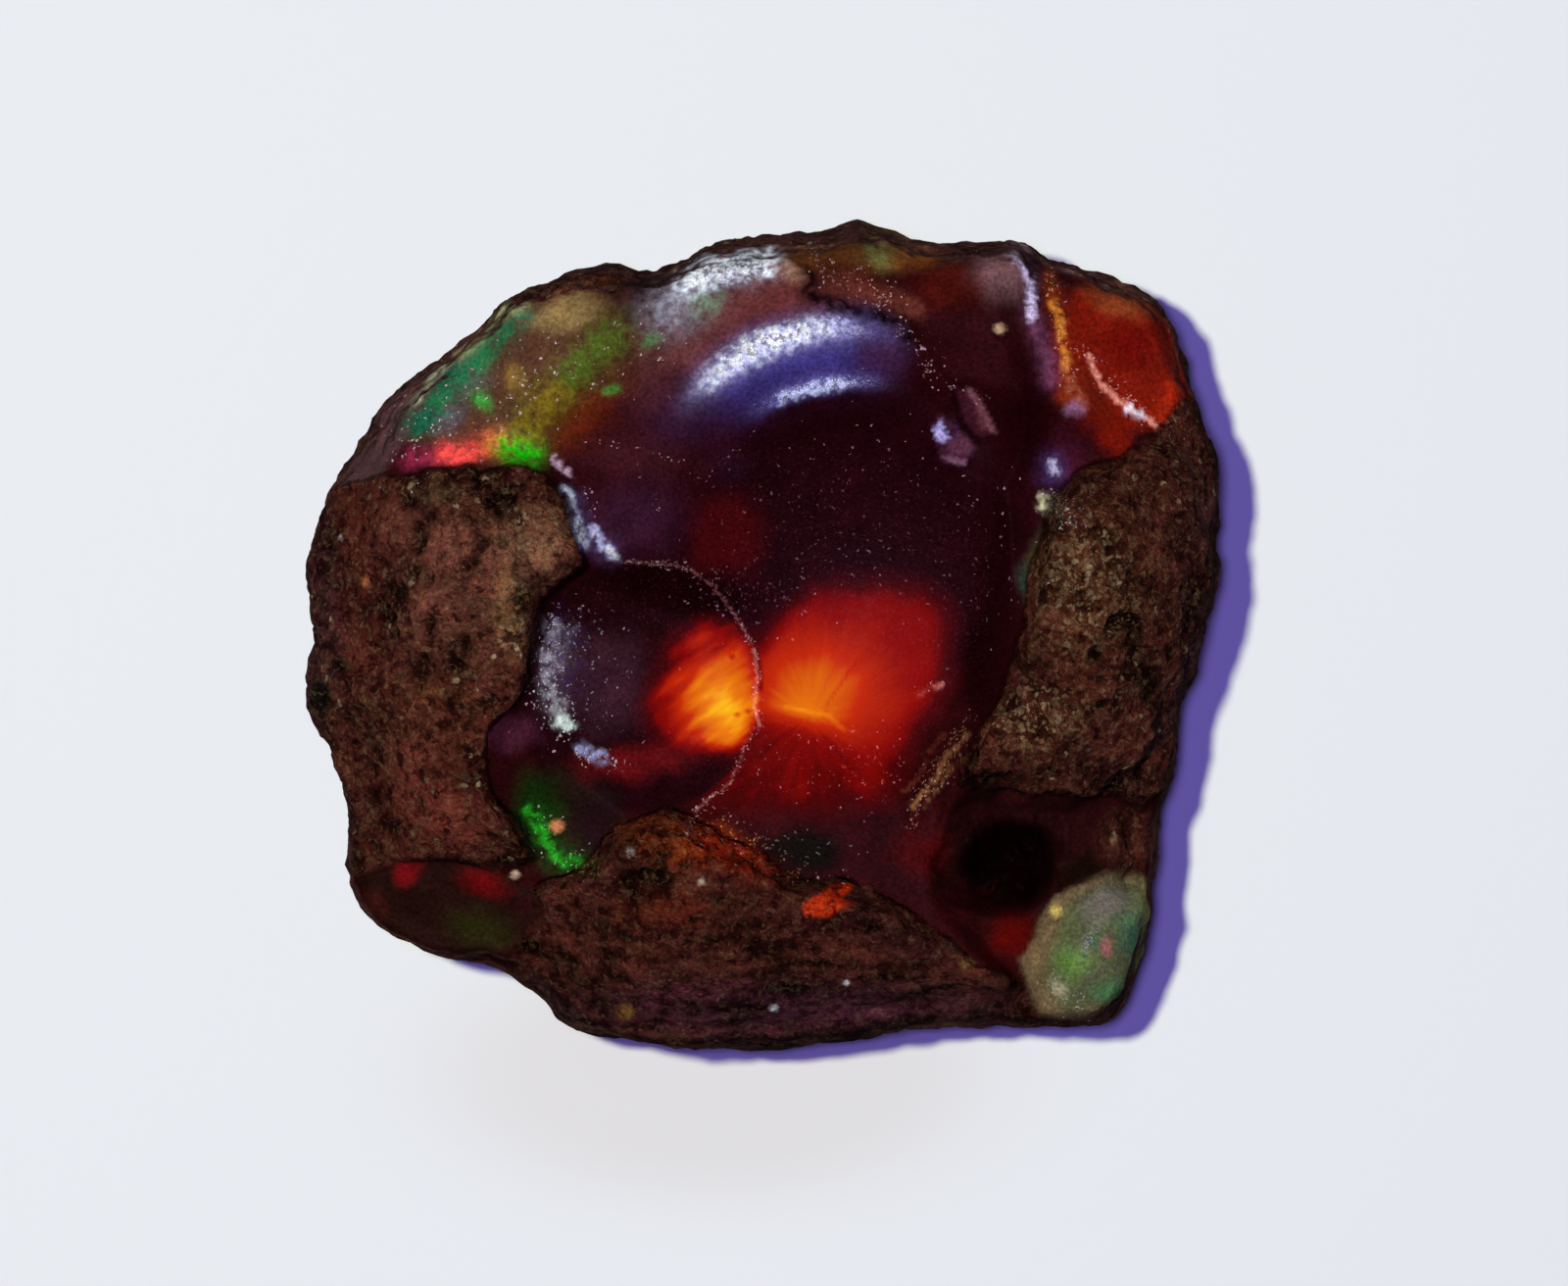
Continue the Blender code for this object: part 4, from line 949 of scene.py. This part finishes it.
def spark_paint(x, y):
    """Colour and density of the small painted glints and pale specks."""
    sparks = np.zeros((len(x), 4))
    sparks[:, :3] = tint(210, 170, 190)
    for path, half_width, colour, density in GLINTS:
        mask = soft_path(x, y, path, half_width)
        lay(sparks[:, :3], mask, tint(*colour))
        sparks[:, 3] = np.maximum(sparks[:, 3], density * mask)
    return sparks


def gloss(x, y):
    amount = np.zeros(len(x))
    for cx, cy, along, across, turn, most in GLOSS_AREAS:
        amount = np.maximum(amount, most * oval(x, y, cx, cy, along, across, turn, 0.7))
    for radius, half_width in GLOSS_RINGS:
        amount = np.maximum(amount, ring(x, y, radius, half_width, *GLOSS_SWEEP))
    return amount


def rock_cover(x, y, wander):
    """1 where the finish shows host rock. It covers the patches' steep edges too."""
    depth = np.maximum.reduce([inside(x, y, patch) + spread for patch, spread in ROCK_SPREAD])
    cover = smooth_step(-0.1, 0.1, depth + 0.25 * wander)
    cover = np.maximum(cover, 0.7 * oval(x, y, *CRUMBLED_CORNER))
    cover *= 1.0 - oval(x, y, *KNOB_COVER)
    return cover * (1.0 - oval(x + 0.3 * wander, y, *WINDOW_COVER))


def set_colour(mesh, name, values):
    """Stores a colour for each point."""
    rgba = np.ones((len(values), 4), np.float32)
    rgba[:, :values.shape[1]] = values
    mesh.attributes.new(name, "FLOAT_COLOR", "POINT").data.foreach_set("color", rgba.ravel())


def set_number(mesh, name, values):
    """Stores a number for each point."""
    mesh.attributes.new(name, "FLOAT", "POINT").data.foreach_set("value", values.astype(np.float32))


def build_stone():
    mesh = fine_sphere()
    points, nz, reach, wander = stone_surface(mesh)
    set_points(mesh, points)
    x, y, z = points.T  # views, so they move along with the points below
    drift = fractal(x, y, 0.0 * x, 1.2, 4, 21)
    # The steep wall under the rim is skin too, with an uneven edge.
    facing = mesh_normals(mesh)
    wall = smooth_step(0.44, 0.16, facing[:, 2] + 0.1 * drift) * smooth_step(0.88, 0.94, reach)
    on_top = smooth_step(-0.12, 0.06, nz) * (1.0 - wall)
    rock_top = rock_cover(x, y, wander)
    rock = rock_top * on_top + SKIN_SHARE * (1.0 - on_top)

    relief = fine_relief(x, y, z, rock, wander)
    points += facing * relief[:, None]
    points[:, 2] = np.maximum(points[:, 2], 0.0)
    points[:, :2] -= (points[:, :2].min(0) + points[:, :2].max(0)) / 2
    set_points(mesh, points * METRES)

    opal = opal_paint(x, y, wander, drift, reach)
    stone = opal + (rock_paint(x, y, z, relief) - opal) * rock_top[:, None]
    for path, half_width, colour, strength in SCAR_RIM_HIGHLIGHTS:
        lay(stone, stripe(x, y, path, half_width), tint(*colour), strength)
    lay(stone, smooth_step(-0.08, 0.08, inside(x, y, CHIP_OUTLINE) + 0.1 * wander), tint(*CHIP_COLOUR))
    for cx, cy, radius, _, colour in GRAINS:
        lay(stone, oval(x, y, cx, cy, radius, radius, 0.0, 0.5), tint(*colour), 0.95)
    # Painted shade: a dark band along the front edge, and the rest of the rim darkened towards the widest
    # outline, except beside the back left window.
    edge = smooth_step(0.955, 0.985, reach)
    lay(stone, edge * smooth_step(-11.0, -12.5, y), tint(*UNDERCUT_COLOUR), 0.9)
    stone *= (1.0 - 0.35 * edge * (1.0 - oval(x, y, *UNSHADED_RIM)))[:, None]
    glow_amount = glow_level(x, y, drift) * on_top * (1.0 - rock_top)
    clear = (1.0 - rock_top) * on_top * (0.2 + 0.25 * oval(x, y, *CLEAR_MIDDLE))
    # The body colour is darker under the painted glow, and lighter where clearness would dim it.
    stone *= ((1.0 - 0.7 * smooth_step(0.05, 0.4, glow_amount)) / (1.0 - clear))[:, None]
    skin = skin_paint(x, y, z, relief)
    set_colour(mesh, "paint", np.clip(skin + (stone - skin) * on_top[:, None], 0.0, 1.0))
    # The painted glow, which the material emits though the stone is no lamp.
    set_colour(mesh, "fire", glow_colour(glow_amount))
    set_colour(mesh, "spark", spark_paint(x, y))
    set_number(mesh, "rock", rock)
    set_number(mesh, "clear", clear)
    set_number(mesh, "gloss", gloss(x, y) * on_top * (1.0 - rock_top))
    gold = np.maximum.reduce([oval(x, y, *area, 0.0, 0.8) for area in GOLD_AREAS])
    set_number(mesh, "gold", (0.12 * smooth_step(-10.0, -6.0, y) + 0.88 * gold) * rock)

    mesh.shade_smooth()
    stone_object = bpy.data.objects.new("opal_stone", mesh)
    bpy.context.scene.collection.objects.link(stone_object)
    return stone_object


class Nodes:
    """Short calls for building a node tree."""

    def __init__(self, tree):
        self.tree = tree
        tree.nodes.clear()

    def add(self, kind, **settings):
        node = self.tree.nodes.new(kind)
        for name, value in settings.items():
            setattr(node, name, value)
        return node

    def put(self, socket, value):
        """Links an output to a socket, or sets the socket's value."""
        if isinstance(value, bpy.types.NodeSocket):
            self.tree.links.new(value, socket)
        else:
            socket.default_value = value

    def attribute(self, name):
        return self.add("ShaderNodeAttribute", attribute_name=name)

    def maths(self, operation, a, b):
        node = self.add("ShaderNodeMath", operation=operation)
        self.put(node.inputs[0], a)
        self.put(node.inputs[1], b)
        return node.outputs[0]

    def times(self, a, b):
        return self.maths("MULTIPLY", a, b)

    def mix(self, factor, a, b):
        node = self.add("ShaderNodeMix", data_type="RGBA")
        self.put(node.inputs["Factor"], factor)
        self.put(node.inputs[6], a)
        self.put(node.inputs[7], b)
        return node.outputs[2]

    def between(self, value, low, high, start=0.0, end=1.0):
        """start below low, end above high, and a smooth change between."""
        node = self.add("ShaderNodeMapRange", interpolation_type="SMOOTHSTEP")
        for socket, number in zip(node.inputs, (value, low, high, start, end)):
            self.put(socket, number)
        return node.outputs[0]

    def noise(self, coordinates, size, detail=2.0, roughness=0.5):
        """Noise whose lumps are about size millimetres wide."""
        node = self.add("ShaderNodeTexNoise")
        self.put(node.inputs["Vector"], coordinates)
        node.inputs["Scale"].default_value = 1.0 / (size * METRES)
        node.inputs["Detail"].default_value = detail
        node.inputs["Roughness"].default_value = roughness
        return node.outputs["Fac"]

    def cells(self, coordinates, size):
        """Scattered cells of about size millimetres: distance to the nearest middle, and a random number."""
        node = self.add("ShaderNodeTexVoronoi")
        self.put(node.inputs["Vector"], coordinates)
        node.inputs["Scale"].default_value = 1.0 / (size * METRES)
        split = self.add("ShaderNodeSeparateColor")
        self.put(split.inputs[0], node.outputs["Color"])
        return node.outputs["Distance"], split.outputs[0], split.outputs[1]


# What is finer than the mesh: colours in linear light, sizes in millimetres
CRUMB_COLOURS = ((0.20, 0.12, 0.05, 1.0), (0.50, 0.36, 0.20, 1.0))
# golden on the raised grain: partly the rock's colour, partly painted highlight
GOLDEN_COLOUR = (0.30, 0.165, 0.08, 1.0)
DASH_COLOUR = (0.34, 0.205, 0.10, 1.0)
# near black in the pits: partly the rock's colour, partly painted shade
PORE_SHADE_COLOUR = (0.016, 0.004, 0.004, 1.0)
FLECK_COLOUR = (0.03, 0.02, 0.10, 1.0)
DUST_COLOUR = (0.14, 0.03, 0.04, 1.0)
STIR_SIZE = 0.25  # the lumps that push the grain out of line
STIR_PUSH = 0.35
CRUMB_SIZE = 0.26
GLINT_SIZE = 0.11
BUMP_DISTANCE = 0.8
OPAL_IOR = 1.45
ABSORB_COLOUR = (0.85, 0.25, 0.10, 1.0)
ABSORB_DENSITY = 800.0  # per metre


def stone_material():
    material = bpy.data.materials.new("opal_and_rock")
    material.use_nodes = True
    n = Nodes(material.node_tree)
    place = n.add("ShaderNodeTexCoord").outputs["Object"]
    paint = n.attribute("paint").outputs["Color"]
    fire = n.attribute("fire").outputs["Color"]
    spark = n.attribute("spark")
    rock = n.attribute("rock").outputs["Fac"]
    clear = n.attribute("clear").outputs["Fac"]
    polish = n.attribute("gloss").outputs["Fac"]
    gold = n.attribute("gold").outputs["Fac"]
    bare = n.maths("SUBTRACT", 1.0, rock)

    # Rock: golden crumbs of uneven shape; then golden tops and dark pores, which follow the bump's height:
    # partly the rock's own colour, partly painted highlight and painted shade
    stir = n.add("ShaderNodeTexNoise")
    n.put(stir.inputs["Vector"], place)
    stir.inputs["Scale"].default_value = 1.0 / (STIR_SIZE * METRES)
    shift = n.add("ShaderNodeVectorMath", operation="SCALE")
    n.put(shift.inputs[0], stir.outputs["Color"])
    shift.inputs["Scale"].default_value = STIR_PUSH * METRES
    stirred = n.add("ShaderNodeVectorMath", operation="ADD")
    n.put(stirred.inputs[0], place)
    n.put(stirred.inputs[1], shift.outputs[0])
    crumb_away, crumb_pick, crumb_shade = n.cells(stirred.outputs[0], CRUMB_SIZE)
    chance = n.maths("SUBTRACT", 1.0, n.times(gold, 0.22))
    crumb = n.times(n.between(crumb_away, 0.25, 0.6, 1.0, 0.0), n.maths("GREATER_THAN", crumb_pick, chance))
    crumb = n.times(crumb, rock)
    pale = n.mix(crumb_shade, *CRUMB_COLOURS)
    tone = n.noise(stirred.outputs[0], 0.5, 6.0, 0.66)
    golden = n.times(n.between(tone, 0.50, 0.64), n.maths("ADD", n.times(gold, 0.6), 0.1))
    colour = n.mix(n.times(golden, rock), paint, GOLDEN_COLOUR)
    dash = n.between(n.noise(stirred.outputs[0], 0.2, 2.0, 0.5), 0.53, 0.63)
    dash = n.times(dash, n.maths("ADD", n.times(gold, 0.8), 0.14))
    colour = n.mix(n.times(dash, rock), colour, DASH_COLOUR)
    colour = n.mix(n.times(crumb, 0.85), colour, pale)
    pore_shade = n.between(tone, 0.49, 0.37, 0.0, 1.0)
    colour = n.mix(n.times(n.times(pore_shade, rock), 0.85), colour, PORE_SHADE_COLOUR)

    # Opal: a faint cloud, a fine grain, and dark flecks where it is polished
    cloud = n.between(n.noise(place, 1.3, 4.0, 0.6), 0.35, 0.7, 0.8, 1.2)
    grain = n.between(n.noise(place, 0.14, 3.0, 0.7), 0.35, 0.65, 0.68, 1.25)
    clouded = n.add("ShaderNodeVectorMath", operation="SCALE")
    n.put(clouded.inputs[0], colour)
    n.put(clouded.inputs["Scale"], n.times(cloud, grain))
    colour = clouded.outputs[0]
    fleck = n.between(n.noise(place, 0.26, 3.0, 0.75), 0.42, 0.50, 1.0, 0.0)
    colour = n.mix(n.times(fleck, n.times(polish, 0.8)), colour, FLECK_COLOUR)

    # Fine dust, then small painted glints on broken edges and pale specks on dusty stretches
    dust = n.between(n.noise(stirred.outputs[0], 0.09, 2.0, 0.5), 0.60, 0.70, 0.0, 0.4)
    colour = n.mix(n.times(dust, n.between(clear, 0.2, 0.4)), colour, DUST_COLOUR)
    glint_away, glint_pick, glint_shade = n.cells(stirred.outputs[0], GLINT_SIZE)
    chance = n.maths("SUBTRACT", 1.0, spark.outputs["Alpha"])
    glint = n.times(n.between(glint_away, 0.22, 0.5, 1.0, 0.0), n.maths("GREATER_THAN", glint_pick, chance))
    glint = n.times(glint, n.between(glint_shade, 0.0, 1.0, 0.25, 1.0))
    colour = n.mix(glint, colour, spark.outputs["Color"])

    rough_rock = n.between(n.noise(place, 0.5), 0.3, 0.7, 0.62, 0.9)
    rough_opal = n.between(n.noise(place, 0.25, 3.0, 0.6), 0.3, 0.7, 0.35, 0.6)
    rough = n.add("ShaderNodeMix", data_type="FLOAT")
    n.put(rough.inputs["Factor"], rock)
    n.put(rough.inputs[2], rough_opal)
    n.put(rough.inputs[3], rough_rock)

    # Relief finer than the mesh
    fine = n.noise(place, 0.12, 2.0, 0.5)
    relief = n.maths("ADD", n.times(tone, rock), n.times(n.times(fine, 0.04), bare))
    bump = n.add("ShaderNodeBump")
    bump.inputs["Strength"].default_value = 1.0
    bump.inputs["Distance"].default_value = BUMP_DISTANCE * METRES
    n.put(bump.inputs["Height"], relief)

    shader = n.add("ShaderNodeBsdfPrincipled")
    n.put(shader.inputs["Base Color"], colour)
    n.put(shader.inputs["Roughness"], rough.outputs[0])
    n.put(shader.inputs["Normal"], bump.outputs[0])
    n.put(shader.inputs["Transmission Weight"], clear)
    shader.inputs["IOR"].default_value = OPAL_IOR
    shader.inputs["Specular IOR Level"].default_value = 0.02
    shader.inputs["Specular Tint"].default_value = (0.06, 0.05, 0.07, 1.0)
    n.put(shader.inputs["Coat Weight"], polish)
    shader.inputs["Coat Roughness"].default_value = 0.2
    shader.inputs["Coat IOR"].default_value = OPAL_IOR
    n.put(shader.inputs["Coat Normal"], bump.outputs[0])
    # Emission paints the glow of light that passes through the stone.
    n.put(shader.inputs["Emission Color"], fire)
    shader.inputs["Emission Strength"].default_value = 1.0
    absorb = n.add("ShaderNodeVolumeAbsorption")
    absorb.inputs["Color"].default_value = ABSORB_COLOUR
    absorb.inputs["Density"].default_value = ABSORB_DENSITY
    output = n.add("ShaderNodeOutputMaterial")
    n.put(output.inputs["Surface"], shader.outputs[0])
    n.put(output.inputs["Volume"], absorb.outputs[0])
    return material


FLOOR_SIZE = 3.0  # in metres
FLOOR_DROP = 0.05  # how far below the stone the floor lies
FLOOR_COLOUR = (0.80, 0.80, 0.80, 1.0)
FLOOR_SHADE_COLOUR = (0.745, 0.715, 0.70, 1.0)  # a faint warm painted shadow on the floor in front of the stone
FLOOR_SHADE_MIDDLE = (-1.8, -15.5, 0.0)
FLOOR_SHADE_REACH = (17.0, 8.0, 10.0)


def build_floor():
    bm = bmesh.new()
    bmesh.ops.create_grid(bm, x_segments=1, y_segments=1, size=FLOOR_SIZE / 2)
    mesh = bpy.data.meshes.new("floor")
    bm.to_mesh(mesh)
    bm.free()
    floor = bpy.data.objects.new("floor", mesh)
    floor.location.z = -FLOOR_DROP * METRES
    bpy.context.scene.collection.objects.link(floor)
    material = bpy.data.materials.new("pale_floor")
    material.use_nodes = True
    n = Nodes(material.node_tree)
    # A faint painted shadow, darker and warmer, in front of the stone
    middle = n.add("ShaderNodeMapping", vector_type="TEXTURE")
    n.put(middle.inputs["Vector"], n.add("ShaderNodeTexCoord").outputs["Object"])
    middle.inputs["Location"].default_value = [v * METRES for v in FLOOR_SHADE_MIDDLE]
    middle.inputs["Scale"].default_value = [v * METRES for v in FLOOR_SHADE_REACH]
    patch = n.add("ShaderNodeTexGradient", gradient_type="QUADRATIC_SPHERE")
    n.put(patch.inputs["Vector"], middle.outputs[0])
    shader = n.add("ShaderNodeBsdfPrincipled")
    floor_shade = n.between(patch.outputs["Fac"], 0.0, 0.4)
    n.put(shader.inputs["Base Color"], n.mix(floor_shade, FLOOR_COLOUR, FLOOR_SHADE_COLOUR))
    shader.inputs["Roughness"].default_value = 0.9
    shader.inputs["Specular IOR Level"].default_value = 0.1
    n.put(n.add("ShaderNodeOutputMaterial").inputs["Surface"], shader.outputs[0])
    mesh.materials.append(material)
    floor.visible_glossy = False


# Lamps, with lengths in metres: (name, direction in degrees, degrees from straight up, diameter, watts,
# colour, whether it lights surfaces, whether it shows in the gloss)
LAMP_DISTANCE = 0.52
LAMPS = (
    ("key", 157.0, 9.0, 0.022, 2.54, (0.93, 0.995, 0.706), True, False),
    ("violet_fill", 157.0, 1.5, 0.03, 1.06, (0.314, 0.234, 1.0), True, False),
    ("window", 110.0, 17.0, 0.10, 1.0, (0.94, 0.93, 1.0), False, True),
    ("window_halo", 110.0, 20.0, 0.26, 0.5, (0.50, 0.44, 1.0), False, True),
)
SKY = (0.012, 0.009, 0.035)


def build_lights():
    for name, direction, lean, diameter, watts, colour, lights, shows in LAMPS:
        lamp = bpy.data.lights.new(name, "AREA")
        lamp.shape = "DISK"
        lamp.size = diameter
        lamp.energy = watts
        lamp.color = colour
        obj = bpy.data.objects.new(name, lamp)
        a, t = math.radians(direction), math.radians(lean)
        spot = Vector((math.cos(a) * math.sin(t), math.sin(a) * math.sin(t), math.cos(t)))
        obj.location = spot * LAMP_DISTANCE
        obj.rotation_mode = "QUATERNION"
        obj.rotation_quaternion = spot.to_track_quat("Z", "Y")
        obj.visible_diffuse = lights
        obj.visible_glossy = shows
        obj.visible_camera = False
        bpy.context.scene.collection.objects.link(obj)

    world = bpy.data.worlds.new("sky")
    world.use_nodes = True
    world.node_tree.nodes["Background"].inputs["Color"].default_value = (*SKY, 1.0)
    bpy.context.scene.world = world
    world.cycles_visibility.glossy = False


# The photograph's frame, in its own pixels
PHOTO_WIDTH = 1600
PIXELS_PER_MM = 29.14
STONE_MIDDLE = (778.5, 648.0)  # the stone's middle in the photograph
FRAME_MIDDLE = (800.0, 656.0)
LENS = 300.0


def build_camera():
    camera = bpy.data.cameras.new("camera")
    camera.lens = LENS
    camera.sensor_width = 36.0
    obj = bpy.data.objects.new("camera", camera)
    across = PHOTO_WIDTH / PIXELS_PER_MM
    obj.location = Vector((
        (FRAME_MIDDLE[0] - STONE_MIDDLE[0]) / PIXELS_PER_MM,
        (STONE_MIDDLE[1] - FRAME_MIDDLE[1]) / PIXELS_PER_MM,
        GIRTH_HEIGHT + across * LENS / camera.sensor_width,
    )) * METRES
    camera.clip_start = 0.01
    camera.clip_end = 10.0
    bpy.context.scene.collection.objects.link(obj)
    bpy.context.scene.camera = obj


def set_render_looks():
    scene = bpy.context.scene
    scene.view_settings.view_transform = "Standard"
    scene.view_settings.look = "None"
    scene.cycles.use_denoising = True
    scene.cycles.max_bounces = 6
    scene.cycles.transmission_bounces = 4
    scene.cycles.caustics_reflective = False
    scene.cycles.caustics_refractive = False


build_camera()
build_lights()
build_floor()
stone = build_stone()
stone.data.materials.append(stone_material())
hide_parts("opal_nodule")
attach(stone, "root")
set_render_looks()
